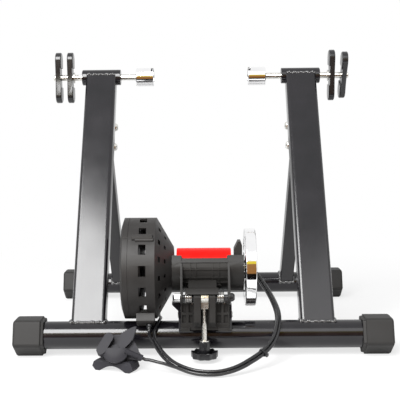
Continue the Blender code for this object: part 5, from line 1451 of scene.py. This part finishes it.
    def mat_on_floor(self, name: str, near: float, far: float, colour: Colour) -> None:
        """A card that lies on the floor in front of the trainer.

        Args:
            name: The card's name.
            near: Its Y on the trainer's side.
            far: Its Y on the camera's side.
            colour: The colour that it shows.
        """
        z, half = self.mat_lift, self.card_half
        self.card(name, [(-half, near, z), (half, near, z), (half, far, z), (-half, far, z)], colour)

    def wall(self, name: str, low: float, high: float, colour: Colour) -> None:
        """A card that stands far in front of the trainer.

        Args:
            name: The card's name.
            low: The height of its lower edge.
            high: The height of its upper edge.
            colour: The colour that it shows.
        """
        y, half = self.card_y, self.card_half
        self.card(name, [(-half, y, low), (half, y, low), (half, y, high), (-half, y, high)], colour)

    def camera(self) -> None:
        """Set the camera where the photograph was taken from."""
        ahead = Vector((math.sin(self.yaw), math.cos(self.yaw), 0))
        forward = ahead * math.cos(self.pitch) - Vector((0, 0, math.sin(self.pitch)))
        level = Vector((math.cos(self.yaw), -math.sin(self.yaw), 0))
        upward = level.cross(forward)
        right = level * math.cos(self.roll) + upward * math.sin(self.roll)
        up = upward * math.cos(self.roll) - level * math.sin(self.roll)
        data = bpy.data.cameras.new("camera")
        data.lens = self.lens
        data.sensor_width = self.sensor
        data.shift_x = 0.5 - self.centre[0] / self.frame_px
        data.shift_y = self.centre[1] / self.frame_px - 0.5
        data.clip_start = self.clip
        obj = bpy.data.objects.new("camera", data)
        turn = Matrix((right, up, -forward)).transposed().to_4x4()
        obj.matrix_world = Matrix.Translation(self.camera_at) @ turn
        bpy.context.scene.collection.objects.link(obj)
        bpy.context.scene.camera = obj

    def build(self) -> None:
        """Set up the whole room."""
        bpy.context.scene.view_settings.view_transform = "Standard"
        self.world()
        self.floor()
        self.camera()
        for lamp in self.lamps:
            lamp.build(Vector(self.lamp_aim), self.lamp_distance)
        # Glowing cards that show only in polished surfaces: painted reflections of a dark, brown and
        # yellow room
        self.mat_on_floor("dark_mat", self.dark_from, self.brown_from, self.dark)
        self.mat_on_floor("brown_mat", self.brown_from, self.card_y, self.brown)
        self.wall("brown_card", 0.0, self.brown_top, self.brown)
        self.wall("yellow_card", self.brown_top, self.yellow_top, self.yellow)


def main() -> None:
    """Dress the whole trainer, piece by piece, and set it in the studio."""
    logging.basicConfig(level=logging.INFO, format="%(name)s: %(message)s")
    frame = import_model()
    shop = Workshop(frame)
    Studio().build()
    Cable().build(shop)
    for assembly in (Stand(), Welds(), Clamps(), Rotor(), RollerUnit(), Pivot(), Shifter()):
        assembly.build(shop)
    log.info("nodes without a piece of their own: %s", sorted(shop.left))


if __name__ == "__main__":
    main()
